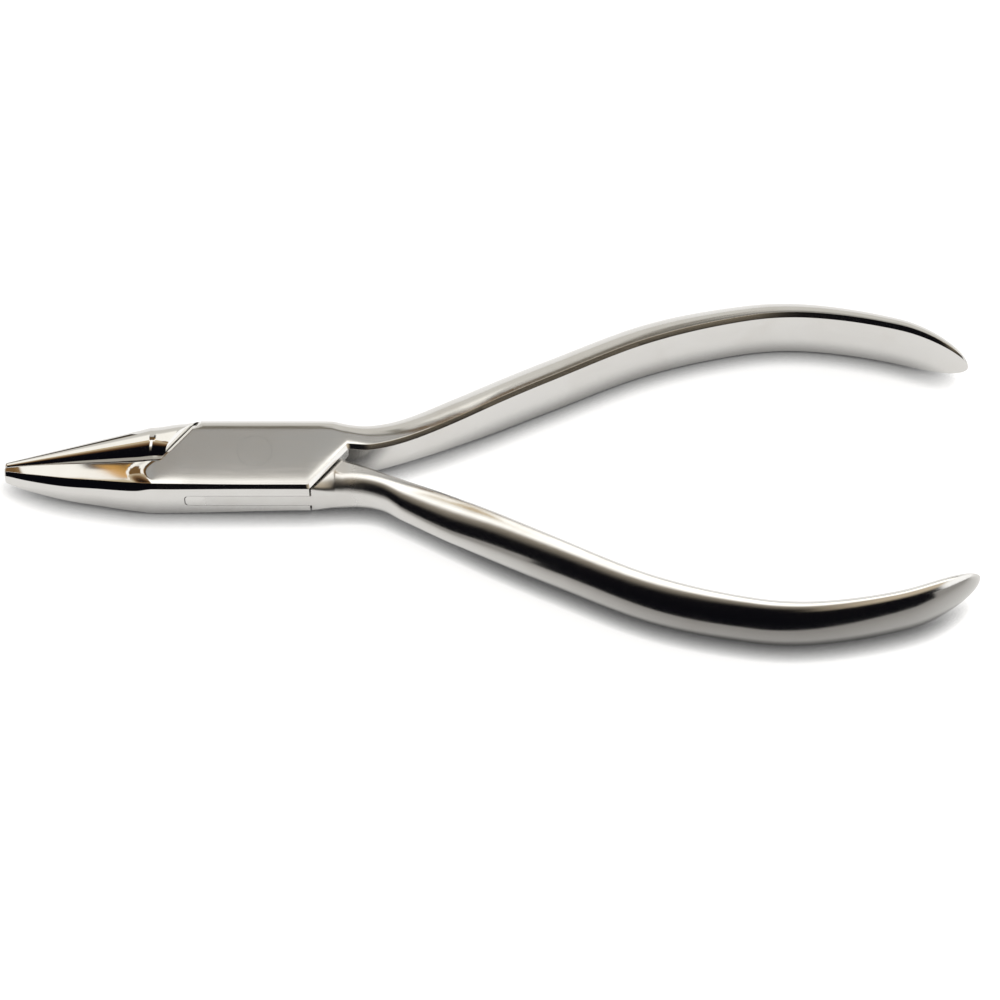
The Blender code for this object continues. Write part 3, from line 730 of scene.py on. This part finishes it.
def mortise_outline():
    """Plan of the mortise: the sweep of the tenon's ends, open to both necks."""
    radius = SWEEP_RADIUS + END_GAP
    jaw_level = -JAW_OFFSET - RELIEF
    handle_level = CROTCH_LEVEL + RELIEF
    side = HALF_WIDTH + CUTTER_OVERRUN
    jaw_end = JAW_CORNER - DIAGONAL_BEVEL
    handle_end = CROTCH + DIAGONAL_BEVEL
    top_arc = arc_points(radius, math.asin(handle_level / radius), math.asin(side / radius))
    low_start = math.pi + math.asin(-jaw_level / radius)
    low_arc = arc_points(radius, low_start, math.pi + math.asin(side / radius))
    return ([(handle_end, -side), (handle_end, handle_level)] + top_arc
            + [(jaw_end, side), (jaw_end, jaw_level)] + low_arc)


def make_mortise_cutter():
    """Prism whose end walls are rounded along their upper and lower edges."""
    radius = SWEEP_RADIUS + END_GAP
    bm = prism(mortise_outline(), -SLOT_HALF, SLOT_HALF)
    wall_edges = []
    for edge in bm.edges:
        level = abs(edge.verts[0].co.z - edge.verts[1].co.z) < MERGE_DISTANCE
        on_wall = all(abs(vert.co.xy.length - radius) < MERGE_DISTANCE for vert in edge.verts)
        if level and on_wall:
            wall_edges.append(edge)
    bmesh.ops.bevel(bm, geom=wall_edges, offset=SLOT_CORNER, segments=RIM_STEPS, profile=ROUND_PROFILE,
                    affect='EDGES', clamp_overlap=False)
    return new_object("mortise_cutter", bm)


def rivet_profile(gap, overrun):
    """Shank with a countersunk head at each end, grown by gap and lengthened by overrun."""
    end = HALF_THICKNESS
    neck = end - RIVET_HEAD_DEPTH
    slope = (RIVET_HEAD_RADIUS - RIVET_RADIUS) / RIVET_HEAD_DEPTH
    rim = RIVET_HEAD_RADIUS + gap + slope * overrun
    upper = [(RIVET_RADIUS + gap, neck), (rim, end + overrun)]
    return [(radius, -z) for radius, z in reversed(upper)] + upper


def make_box_half():
    piece = loft("box_half_fine", box_stations(), box_ring)
    cut(piece, make_mortise_cutter())
    cut(piece, new_object("countersunk_bore_cutter", lathe(rivet_profile(SEAT_GAP, LOCK_EDGE))))
    apply_cuts(piece)
    return piece


# Tenon half


def tenon_stations():
    fine = [x for x in jaw_stations() if x < TIP + SADDLE_LENGTH]
    cone = steps_between(TIP + SADDLE_LENGTH, CONE_END, CONE_STEPS)
    rim = steps_between(CONE_END - CONE_RIM_LENGTH, CONE_END, RIM_STEPS)[1:]
    root = steps_between(CONE_END, CONE_END + ROOT_BLEND, SADDLE_STEPS)[1:]
    arcs = arc_points(SWEEP_RADIUS, *JAW_END_ARC) + arc_points(SWEEP_RADIUS, *HANDLE_END_ARC)
    ends = [x for x, y in arcs]
    lock = [FAR_CORNER, FAR_CORNER / 2, 0.0, NEAR_CORNER, LOCK_NEAR_END, ROUNDING_START]
    return sorted(fine + cone + rim + root + ends + lock + handle_stations(TENON_FOOT))


def tenon_ring(x):
    def height_at(share):
        return tenon_half_height(x)

    edges = (tenon_near_edge(x), tenon_near_edge(x, low_edge(x)), tenon_far_edge(x))
    return section(tenon_near(x), tenon_far(x), edges, height_at)


def cheek_cutter(name, side):
    """Channel across the lock, along the diagonals, that takes one cheek of the box."""
    floor = TENON_THICKNESS / 2
    reach = SHOULDER_REACH + SHOULDER_GAP
    shelf = HALF_THICKNESS - SHOULDER_BEVEL
    flare = SHOULDER_BEVEL + LOCK_EDGE
    half = [(reach, floor), (reach, shelf), (reach + flare, shelf + flare)]
    outline = half + [(-distance, z) for distance, z in reversed(half)]
    rows = []
    for along in (-CUTTER_REACH, CUTTER_REACH):
        rows.append([(along * COS - distance * SIN, along * SIN + distance * COS, side * z)
                     for distance, z in outline])
    return new_object(name, skin(rows))


def tenon_corner(name, start, end, side):
    """Chamfer along one edge of the tenon's end, swept about the joint axis."""
    level = TENON_THICKNESS / 2
    past = TENON_CHAMFER
    outside = SWEEP_RADIUS + past
    profile = [(SWEEP_RADIUS - TENON_CHAMFER - past, level + past),
               (outside, level - TENON_CHAMFER - past), (outside, level + past)]
    rows = [[(out * math.cos(turn), out * math.sin(turn), side * up) for out, up in profile]
            for turn in steps_between(start, end, ARC_STEPS)]
    return new_object(name, skin(rows))


def make_tenon_half():
    piece = loft("tenon_half_fine", tenon_stations(), tenon_ring)
    cut(piece, cheek_cutter("upper_cheek_cutter", 1))
    cut(piece, cheek_cutter("lower_cheek_cutter", -1))
    for name, (start, end) in (("handle_end", HANDLE_END_ARC), ("jaw_end", JAW_END_ARC)):
        reach = (start - CORNER_OVERRUN, end + CORNER_OVERRUN)
        cut(piece, tenon_corner(f"{name}_upper_cutter", *reach, 1))
        cut(piece, tenon_corner(f"{name}_lower_cutter", *reach, -1))
    shank = RIVET_RADIUS + SLIP_GAP
    bore = lathe([(shank, -HALF_THICKNESS), (shank, HALF_THICKNESS)])
    cut(piece, new_object("tenon_bore_cutter", bore))
    apply_cuts(piece)
    return piece


def make_rivet():
    """Rivet whose ends were ground together with the lock's faces and follow their roll-off."""
    radii = steps_between(RIVET_HEAD_RADIUS / FACE_RINGS, RIVET_HEAD_RADIUS, FACE_RINGS - 1)[:-1]
    low_face = [(radius, -HALF_THICKNESS) for radius in radii]
    high_face = [(radius, HALF_THICKNESS) for radius in reversed(radii)]
    bm = lathe(low_face + rivet_profile(0.0, 0.0) + high_face)
    far_line = HALF_WIDTH - FAR_ROUNDING
    near_line = -HALF_WIDTH + LOCK_EDGE
    for vert in bm.verts:
        if abs(vert.co.z) > HALF_THICKNESS - MERGE_DISTANCE:
            share = (far_line - vert.co.y) / (far_line - near_line)
            vert.co.z -= math.copysign(roll_off(vert.co.x, share), vert.co.z)
    piece = new_object("joint_rivet_fine", bm)
    apply_cuts(piece)
    return piece


# Steel finishes

CLEAN_STEEL = (0.64, 0.63, 0.61)
FILMED_STEEL = (0.61, 0.595, 0.57)
BEAK_ROUGHNESS = 0.05
LOCK_ROUGHNESS = 0.14
HANDLE_ROUGHNESS = 0.16
NECK_ROUGHNESS = 0.30
FILM_ROUGHNESS = 0.02
STREAK_ROUGHNESS = 0.1
FILM_CONTRAST = 3.0
FILM_THRESHOLD = 2.5

# Depths of the marks that grinding and brushing leave, in thousandths of a millimetre
MARK_UNIT = 0.001 * MM
SATIN_DEPTH = 0.5
BRUSH_DEPTH = 0.8
BRUSH_STREAK_DEPTH = 1.8
CROSS_DEPTH = 1.4
CROSS_STREAK_DEPTH = 3.0

# Where one finish gives way to the next
POLISH_LAP = 0.2 * MM
POLISH_BOW = 60.0
POLISH_MIDDLE = -3.2 * MM
POLISH_FADE = 0.6 * MM
TENON_POLISH_END = -SLOT_END + 2 * MM
HANDLE_FADE = 4 * MM
NECK_FADE_IN = 1 * MM
NECK_END = 13.0 * MM
NECK_FADE_OUT = 9 * MM
WANDER = 4.0 * MM
WANDER_SCALE = 300.0


def new_group(name, numbers, outputs, vector=True):
    """Empty shader node group with its named sockets."""
    group = bpy.data.node_groups.new(name, 'ShaderNodeTree')
    if vector:
        group.interface.new_socket("Vector", in_out='INPUT', socket_type='NodeSocketVector')
    for label, default in numbers.items():
        made = group.interface.new_socket(label, in_out='INPUT', socket_type='NodeSocketFloat')
        made.default_value = default
    for label in outputs:
        group.interface.new_socket(label, in_out='OUTPUT', socket_type='NodeSocketFloat')
    return group, group.nodes.new("NodeGroupInput").outputs, group.nodes.new("NodeGroupOutput").inputs


def new_material(name):
    material = bpy.data.materials.new(name)
    material.use_nodes = True
    return material, material.node_tree, material.node_tree.nodes["Principled BSDF"]


def join(tree, source, target):
    """Feed a socket from another socket or with a plain value."""
    if isinstance(source, bpy.types.NodeSocket):
        tree.links.new(source, target)
    else:
        target.default_value = source


def coordinates(tree, kind):
    return tree.nodes.new("ShaderNodeTexCoord").outputs[kind]


def split(tree, vector):
    """X, Y and Z of a vector, by name."""
    parts = tree.nodes.new("ShaderNodeSeparateXYZ")
    tree.links.new(vector, parts.inputs[0])
    return parts.outputs


def maths(tree, operation, *values, clamped=False):
    made = tree.nodes.new("ShaderNodeMath")
    made.operation = operation
    made.use_clamp = clamped
    for value, socket in zip(values, made.inputs):
        join(tree, value, socket)
    return made.outputs[0]


def noise(tree, vector, scale, detail, rough, distortion=0.0):
    made = tree.nodes.new("ShaderNodeTexNoise")
    for label, value in (("Vector", vector), ("Scale", scale), ("Detail", detail), ("Roughness", rough),
                         ("Distortion", distortion)):
        join(tree, value, made.inputs[label])
    return made.outputs[0]


def remap(tree, value, low, high, to_low, to_high, smooth=False):
    made = tree.nodes.new("ShaderNodeMapRange")
    if smooth:
        made.interpolation_type = 'SMOOTHSTEP'
    for label, source in (("Value", value), ("From Min", low), ("From Max", high), ("To Min", to_low),
                          ("To Max", to_high)):
        join(tree, source, made.inputs[label])
    return made.outputs["Result"]


def blend_colours(tree, share, first, second):
    made = tree.nodes.new("ShaderNodeMix")
    made.data_type = 'RGBA'
    sockets = [socket for socket in made.inputs if socket.type == 'RGBA']
    join(tree, share, made.inputs["Factor"])
    for colour, socket in zip((first, second), sockets):
        join(tree, colour if isinstance(colour, bpy.types.NodeSocket) else (*colour, 1), socket)
    return [socket for socket in made.outputs if socket.type == 'RGBA'][0]


def build_grain_group():
    """Scratches of the last belt or brush, drawn out along the pliers or across them."""
    group, put, out = new_group("steel_grain", {"Along": 300.0, "Across": 6000.0}, ["Fine", "Streaks"])
    stretch = group.nodes.new("ShaderNodeCombineXYZ")
    for source, axis in (("Along", "X"), ("Across", "Y"), ("Across", "Z")):
        group.links.new(put[source], stretch.inputs[axis])
    stretched = group.nodes.new("ShaderNodeVectorMath")
    stretched.operation = 'MULTIPLY'
    group.links.new(put["Vector"], stretched.inputs[0])
    group.links.new(stretch.outputs[0], stretched.inputs[1])
    place = stretched.outputs[0]
    group.links.new(noise(group, place, scale=1.0, detail=3.0, rough=0.6), out["Fine"])
    group.links.new(noise(group, place, scale=0.45, detail=2.0, rough=0.5), out["Streaks"])
    return group


def build_handling_group():
    """Soft patches of handling film, as a mask from 0 to 1."""
    group, put, out = new_group("handling_film", {"Size": 130.0, "Cover": 0.45}, ["Mask"])
    patches = noise(group, put["Vector"], put["Size"], detail=4.0, rough=0.55, distortion=0.6)
    covered = maths(group, 'ADD', patches, put["Cover"])
    mask = maths(group, 'MULTIPLY_ADD', covered, FILM_CONTRAST, -FILM_THRESHOLD, clamped=True)
    group.links.new(mask, out["Mask"])
    return group


def build_zone_group():
    """Where along the pliers each finish lies: polished beak, ground neck and brushed handle."""
    numbers = {"Beak End": 0.0, "Bow": 0.0, "Middle": 0.0, "Neck Start": 0.0}
    group, put, out = new_group("finish_zones", numbers, ["Beak", "Neck", "Handle"])
    parts = split(group, put["Vector"])
    x = parts["X"]
    aside = maths(group, 'SUBTRACT', parts["Y"], put["Middle"])
    bowed = maths(group, 'MULTIPLY', maths(group, 'MULTIPLY', aside, aside), put["Bow"])
    place = maths(group, 'SUBTRACT', maths(group, 'SUBTRACT', x, put["Beak End"]), bowed)
    beak = remap(group, place, -POLISH_FADE, POLISH_FADE, 1.0, 0.0, smooth=True)
    group.links.new(beak, out["Beak"])
    uneven = noise(group, put["Vector"], WANDER_SCALE, detail=2.0, rough=0.5)
    wander = maths(group, 'MULTIPLY_ADD', uneven, WANDER, x)
    handle = remap(group, wander, CROTCH, CROTCH + HANDLE_FADE, 0.0, 1.0, smooth=True)
    group.links.new(handle, out["Handle"])
    neck_end = remap(group, wander, NECK_END, NECK_END + NECK_FADE_OUT, 1.0, 0.0, smooth=True)
    after = maths(group, 'SUBTRACT', x, put["Neck Start"])
    neck_start = remap(group, after, 0.0, NECK_FADE_IN, 0.0, 1.0, smooth=True)
    group.links.new(maths(group, 'MULTIPLY', neck_start, neck_end), out["Neck"])
    return group


GRAIN = build_grain_group()
FILM = build_handling_group()
ZONES = build_zone_group()


def effect(tree, group, vector, values):
    made = tree.nodes.new("ShaderNodeGroup")
    made.node_tree = group
    tree.links.new(vector, made.inputs["Vector"])
    for label, value in values.items():
        made.inputs[label].default_value = value
    return made.outputs


def steel(name, beak_end, neck_start, bow=0.0, middle=0.0):
    """Stainless steel with a polished beak, a satin lock, a cross-ground neck and a brushed handle."""
    material, tree, shader = new_material(name)
    shader.inputs["Metallic"].default_value = 1.0
    place = coordinates(tree, "Object")
    zones = effect(tree, ZONES, place, {"Beak End": beak_end, "Bow": bow, "Middle": middle,
                                        "Neck Start": neck_start})
    film = effect(tree, FILM, place, {"Size": 130.0, "Cover": 0.42})["Mask"]
    satin = effect(tree, GRAIN, place, {"Along": 900.0, "Across": 7000.0})
    cross = effect(tree, GRAIN, place, {"Along": 5200.0, "Across": 260.0})
    brush = effect(tree, GRAIN, place, {"Along": 420.0, "Across": 5200.0})
    tree.links.new(blend_colours(tree, film, CLEAN_STEEL, FILMED_STEEL), shader.inputs["Base Color"])

    matt = maths(tree, 'SUBTRACT', 1.0, zones["Beak"], clamped=True)
    brushed = remap(tree, zones["Handle"], 0.0, 1.0, LOCK_ROUGHNESS, HANDLE_ROUGHNESS)
    ground = remap(tree, zones["Neck"], 0.0, 1.0, brushed, NECK_ROUGHNESS)
    whole = remap(tree, zones["Beak"], 0.0, 1.0, ground, BEAK_ROUGHNESS)
    filmed = maths(tree, 'MULTIPLY_ADD', film, FILM_ROUGHNESS, whole)
    streaks = maths(tree, 'MULTIPLY', maths(tree, 'SUBTRACT', brush["Streaks"], 0.5), matt)
    streaked = maths(tree, 'MULTIPLY_ADD', streaks, STREAK_ROUGHNESS, filmed)
    tree.links.new(streaked, shader.inputs["Roughness"])

    not_neck = maths(tree, 'SUBTRACT', 1.0, zones["Neck"], clamped=True)
    not_handle = maths(tree, 'SUBTRACT', 1.0, zones["Handle"], clamped=True)
    handle_only = maths(tree, 'MULTIPLY', zones["Handle"], not_neck)
    lock_only = maths(tree, 'MULTIPLY', matt, not_handle)
    height = 0.0
    for marks, mask, depth in ((satin["Fine"], lock_only, SATIN_DEPTH),
                               (brush["Fine"], handle_only, BRUSH_DEPTH),
                               (cross["Fine"], zones["Neck"], CROSS_DEPTH),
                               (cross["Streaks"], zones["Neck"], CROSS_STREAK_DEPTH),
                               (brush["Streaks"], handle_only, BRUSH_STREAK_DEPTH)):
        masked = maths(tree, 'MULTIPLY', marks, mask)
        height = maths(tree, 'MULTIPLY_ADD', masked, depth, height)
    bump = tree.nodes.new("ShaderNodeBump")
    bump.inputs["Strength"].default_value = 1.0
    bump.inputs["Distance"].default_value = MARK_UNIT
    tree.links.new(height, bump.inputs["Height"])
    tree.links.new(bump.outputs["Normal"], shader.inputs["Normal"])
    return material


BOX_STEEL = steel("polished_and_satin_steel", PYRAMID_ROOT + POLISH_LAP, HANDLE_LENGTH,
                  POLISH_BOW, POLISH_MIDDLE)
TENON_STEEL = steel("polished_and_brushed_steel", TENON_POLISH_END, TENON_POLISH_END)
RIVET_STEEL = steel("ground_rivet_steel", PYRAMID_ROOT, HANDLE_LENGTH)


def finish(piece, material):
    mesh = piece.data
    mesh.materials.clear()
    mesh.materials.append(material)
    mesh.shade_smooth()
    mesh.set_sharp_from_angle(angle=SHARP_ANGLE)
    flats = piece.modifiers.new("even_flats", 'WEIGHTED_NORMAL')
    flats.keep_sharp = True


# Pieces

box_half = make_box_half()
tenon_half = make_tenon_half()
joint_rivet = make_rivet()

finish(box_half, BOX_STEEL)
finish(tenon_half, TENON_STEEL)
finish(joint_rivet, RIVET_STEEL)

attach(box_half, "box_body")
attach(tenon_half, "tenon_body")
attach(joint_rivet, "box_body")
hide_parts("box_half")
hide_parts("tenon_half")
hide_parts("joint_rivet")

# Stage: pale floor, light and camera

FLOOR_SIZE = 6.0
FLOOR_COLOUR = (0.30, 0.30, 0.30)
FLOOR_ROUGHNESS = 0.9
FLOOR_LIFT = 0.76
# Painted contact shadow: an ambient occlusion test darkens the floor's colour and glow near the pliers;
# its reach, power and samples follow
PAINTED_SHADOW_REACH = 2.6 * MM
PAINTED_SHADOW_DEPTH = 2.2
PAINTED_SHADOW_SAMPLES = 3
# Painted shade: between these two places towards the front, the floor's glow as the steel reflects it
# fades out
PAINTED_SHADE_FROM, PAINTED_SHADE_TO = -8.0 * MM, -38.0 * MM
LOCK_REST = -14.0 * MM
PALM_REST = 75.0 * MM
DOME_LEVEL = 0.5
BLACK = (0.0, 0.0, 0.0)
WHITE = (1.0, 1.0, 1.0)
DARK_ROOM = (0.004, 0.004, 0.006)

# Painted reflections: glowing cards that only the steel's reflections show, black where they stand in
# for the shaded room
# Cards around the pliers: where each starts and stops, and its shares of height with their colours
CARD_DISTANCE = 7.0 * MM
CARD_HEIGHT = 14.0 * MM
CARD_START, CARD_STOP = 25.0 * MM, 105.0 * MM
CARD_COLOURS = ((0.0, DARK_ROOM), (1.0, DARK_ROOM))
STRIP_HEIGHT = 9.0 * MM
STRIP_START, STRIP_STOP = -62.0 * MM, -22.0 * MM
STRIP_BACK = 23.0 * MM
STRIP_COLOURS = ((0.0, (0.05, 0.04, 0.03)), (0.6, (0.05, 0.04, 0.03)), (1.0, (0.4, 0.35, 0.28)))
JAW_CARD_LENGTH = 34.0 * MM
JAW_CARD_X = -43.0 * MM
JAW_CARD_BACK = 25.0 * MM
JAW_CARD_FRONT = -75.0 * MM
JAW_CARD_LEVEL = 66.0 * MM
JAW_CARD_COLOURS = ((0.0, DARK_ROOM), (0.72, DARK_ROOM), (0.79, (0.10, 0.05, 0.02)),
                    (0.88, (0.33, 0.20, 0.10)), (1.0, (0.85, 0.72, 0.5)))

# Camera: the photograph's frame is 1000 pixels wide
FRAME_PIXELS = 1000
FOCAL_PIXELS = 4693.0
SENSOR_WIDTH = 36.0
CAMERA_PLACE = (0.03383, -0.32947, 0.56474)
CAMERA_TILT = math.radians(30)
CLIP_START = 0.01
CLIP_END = 20


def make_floor():
    """Pale table on which the handles and the jaw end of the lock rest, with a painted contact shadow
    near the pliers and painted shade on its reflection towards the front.
    """
    bm = bmesh.new()
    bmesh.ops.create_grid(bm, x_segments=1, y_segments=1, size=FLOOR_SIZE / 2)
    floor = new_object("floor", bm)
    floor.location = (LOCK_REST, 0, 0)
    floor.rotation_euler.y = math.atan2(-cad_low.z, PALM_REST - LOCK_REST)
    material, tree, shader = new_material("pale_floor")
    shader.inputs["Roughness"].default_value = FLOOR_ROUGHNESS
    shader.inputs["Specular IOR Level"].default_value = 0.0
    # Painted contact shadow: ambient occlusion near the pliers darkens the floor's colour towards black
    contact = tree.nodes.new("ShaderNodeAmbientOcclusion")
    contact.samples = PAINTED_SHADOW_SAMPLES
    contact.inputs["Distance"].default_value = PAINTED_SHADOW_REACH
    contact.inputs["Color"].default_value = (*WHITE, 1)
    near = maths(tree, 'POWER', contact.outputs["AO"], PAINTED_SHADOW_DEPTH)
    tree.links.new(blend_colours(tree, near, BLACK, FLOOR_COLOUR), shader.inputs["Base Color"])
    shader.inputs["Emission Color"].default_value = (*WHITE, 1)
    # Painted shade: the floor's glow seen in the steel's reflections fades out towards the front
    across = split(tree, coordinates(tree, "Object"))["Y"]
    painted_front_shade = remap(tree, across, PAINTED_SHADE_TO, PAINTED_SHADE_FROM, 0.0, 1.0, smooth=True)
    rays = tree.nodes.new("ShaderNodeLightPath").outputs
    reflected = maths(tree, 'ADD', rays["Is Glossy Ray"], rays["Is Transmission Ray"], clamped=True)
    reflected = maths(tree, 'MULTIPLY', reflected, painted_front_shade)
    seen = maths(tree, 'ADD', rays["Is Camera Ray"], reflected, clamped=True)
    # The painted contact shadow also darkens the glow that the camera and the steel's reflections see
    lifted = maths(tree, 'MULTIPLY', maths(tree, 'MULTIPLY', seen, near), FLOOR_LIFT)
    tree.links.new(lifted, shader.inputs["Emission Strength"])
    floor.data.materials.append(material)


def make_card(name, size, location, tilt, colours):
    """Card out of the picture that only the steel's reflections show, shaded along its height."""
    bm = bmesh.new()
    bmesh.ops.create_grid(bm, x_segments=1, y_segments=1, size=0.5)
    card = new_object(name, bm)
    card.scale = (*size, 1)
    card.rotation_euler.x = tilt
    card.location = location
    material, tree, shader = new_material(name)
    shader.inputs["Base Color"].default_value = (*BLACK, 1)
    shader.inputs["Roughness"].default_value = 1.0
    shader.inputs["Specular IOR Level"].default_value = 0.0
    # The card glows with its ramp colour and is seen only in reflections: a painted reflection
    shader.inputs["Emission Strength"].default_value = 1.0
    ramp = tree.nodes.new("ShaderNodeValToRGB")
    elements = ramp.color_ramp.elements
    while len(elements) < len(colours):
        elements.new(0.5)
    for element, (place, colour) in zip(elements, colours):
        element.position = place
        element.color = (*colour, 1)
    along = split(tree, coordinates(tree, "Object"))["Y"]
    tree.links.new(maths(tree, 'ADD', along, 0.5), ramp.inputs[0])
    tree.links.new(ramp.outputs[0], shader.inputs["Emission Color"])
    card.data.materials.append(material)
    card.visible_camera = False
    card.visible_diffuse = False
    card.visible_shadow = False
    card.visible_transmission = False


def make_cards():
    """Painted reflections: black card in front of the handles, dark strip behind the jaws, brown-edged
    card above them.
    """
    make_card("front_card", (CARD_STOP - CARD_START, CARD_HEIGHT),
              ((CARD_START + CARD_STOP) / 2, cad_low.y - CARD_DISTANCE, CARD_HEIGHT / 2), math.pi / 2,
              CARD_COLOURS)
    make_card("back_strip", (STRIP_STOP - STRIP_START, STRIP_HEIGHT),
              ((STRIP_START + STRIP_STOP) / 2, STRIP_BACK, STRIP_HEIGHT / 2), math.pi / 2,
              STRIP_COLOURS)
    make_card("jaw_card", (JAW_CARD_LENGTH, JAW_CARD_BACK - JAW_CARD_FRONT),
              (JAW_CARD_X, (JAW_CARD_BACK + JAW_CARD_FRONT) / 2, JAW_CARD_LEVEL), 0.0,
              JAW_CARD_COLOURS)


def make_dome():
    """Even light from the whole tent above, which gives the table its soft contact shadows."""
    data = bpy.data.lights.new("tent_light", 'SUN')
    data.energy = math.pi * DOME_LEVEL
    data.angle = math.pi
    lamp = add_object("tent_light", data)
    lamp.visible_glossy = False


# Things that stand around the pliers, each laid over the one before it.
# Lean is the sideways part of a direction, from -1 on the left to 1 on the right. Pitch is 0 at the
# horizon behind the pliers, 0.5 overhead and 1 at the horizon in front. Each range has soft ends.
SURROUNDINGS = (
    # colour, lean range, lean softness, pitch range, lower and upper pitch softness
    ("tent_edge", (0.42, 0.37, 0.30), (-2, 2), 0.1, (0.30, 0.535), 0.02, 0.22),
    ("tent_top", (1.9, 1.88, 1.82), (-2, 2), 0.1, (0.368, 0.50), 0.016, 0.085),
    ("backdrop", (0.86, 0.84, 0.79), (-2, 2), 0.1, (-1, 0.22), 0.02, 0.08),
    ("backdrop_top", (0.52, 0.52, 0.505), (-2, 2), 0.1, (0.318, 0.345), 0.03, 0.016),
    ("shelf_behind", (0.21, 0.19, 0.15), (-0.08, -0.02), 0.02, (0.19, 0.297), 0.05, 0.03),
    ("window_on_left", (1.45, 1.42, 1.34), (-0.40, -0.2285), 0.004, (0.20, 0.45), 0.08, 0.06),
    ("slate_curtain", (0.04, 0.045, 0.05), (-0.236, -0.20), 0.006, (0.22, 0.312), 0.03, 0.012),
    ("gold_curtain", (0.95, 0.52, 0.13), (-0.2265, -0.2125), 0.004, (0.305, 0.343), 0.008, 0.012),
    ("brown_curtain", (0.17, 0.10, 0.045), (-0.209, -0.10), 0.008, (0.27, 0.35), 0.02, 0.02),
    ("beige_shelf", (0.75, 0.58, 0.33), (-0.36, -0.253), 0.005, (0.355, 0.42), 0.008, 0.03),
    ("brown_shelf", (0.31, 0.18, 0.07), (-2, -0.375), 0.02, (0.26, 0.43), 0.02, 0.02),
    ("brown_corner", (0.25, 0.14, 0.055), (-2, -0.41), 0.02, (0.19, 0.45), 0.02, 0.02),
    ("lit_wall_on_right", (0.75, 0.64, 0.48), (0.3, 2), 0.25, (0.58, 0.72), 0.06, 0.16),
    ("window_on_right", (1.5, 1.5, 1.5), (0.84, 2), 0.06, (-1, 2), 0.1, 0.1),
)


def build_area_group():
    """Mask of one part of the surroundings, by lean and pitch."""
    labels = ("Lean", "Pitch", "Left", "Right", "Lean Soft", "Low", "High", "Low Soft", "High Soft")
    numbers = {label: 0.0 for label in labels}
    group, put, out = new_group("studio_area", numbers, ["Mask"], vector=False)
    left = maths(group, 'SUBTRACT', put["Left"], put["Lean Soft"])
    right = maths(group, 'ADD', put["Right"], put["Lean Soft"])
    low = maths(group, 'SUBTRACT', put["Low"], put["Low Soft"])
    high = maths(group, 'ADD', put["High"], put["High Soft"])
    mask = remap(group, put["Lean"], left, put["Left"], 0.0, 1.0, smooth=True)
    for source, start, end, first, last in (("Lean", put["Right"], right, 1.0, 0.0),
                                            ("Pitch", low, put["Low"], 0.0, 1.0),
                                            ("Pitch", put["High"], high, 1.0, 0.0)):
        side = remap(group, put[source], start, end, first, last, smooth=True)
        mask = maths(group, 'MULTIPLY', mask, side)
    group.links.new(mask, out["Mask"])
    return group


def make_world():
    """Studio around the pliers: bright tent top, grey backdrop, warm left corner, dark room in front."""
    world = bpy.data.worlds.new("studio")
    bpy.context.scene.world = world
    world.use_nodes = True
    tree = world.node_tree
    background = tree.nodes["Background"]
    parts = split(tree, coordinates(tree, "Generated"))
    angle = maths(tree, 'ARCTAN2', parts["Z"], parts["Y"])
    pitch = maths(tree, 'DIVIDE', angle, math.pi)
    area = build_area_group()
    colour = DARK_ROOM
    for name, paint, (left, right), lean_soft, (low, high), low_soft, high_soft in SURROUNDINGS:
        made = tree.nodes.new("ShaderNodeGroup")
        made.node_tree = area
        made.label = name
        tree.links.new(parts["X"], made.inputs["Lean"])
        tree.links.new(pitch, made.inputs["Pitch"])
        for label, value in (("Left", left), ("Right", right), ("Lean Soft", lean_soft), ("Low", low),
                             ("High", high), ("Low Soft", low_soft), ("High Soft", high_soft)):
            made.inputs[label].default_value = value
        colour = blend_colours(tree, made.outputs["Mask"], colour, paint)
    tree.links.new(colour, background.inputs["Color"])
    background.inputs["Strength"].default_value = 1.0


def make_camera():
    data = bpy.data.cameras.new("camera")
    data.sensor_width = SENSOR_WIDTH
    data.lens = FOCAL_PIXELS * SENSOR_WIDTH / FRAME_PIXELS
    data.clip_start = CLIP_START
    data.clip_end = CLIP_END
    camera = add_object("camera", data)
    camera.location = CAMERA_PLACE
    camera.rotation_euler = (CAMERA_TILT, 0, 0)
    bpy.context.scene.camera = camera


make_floor()
make_cards()
make_dome()
make_world()
make_camera()
bpy.context.scene.view_settings.view_transform = 'Standard'
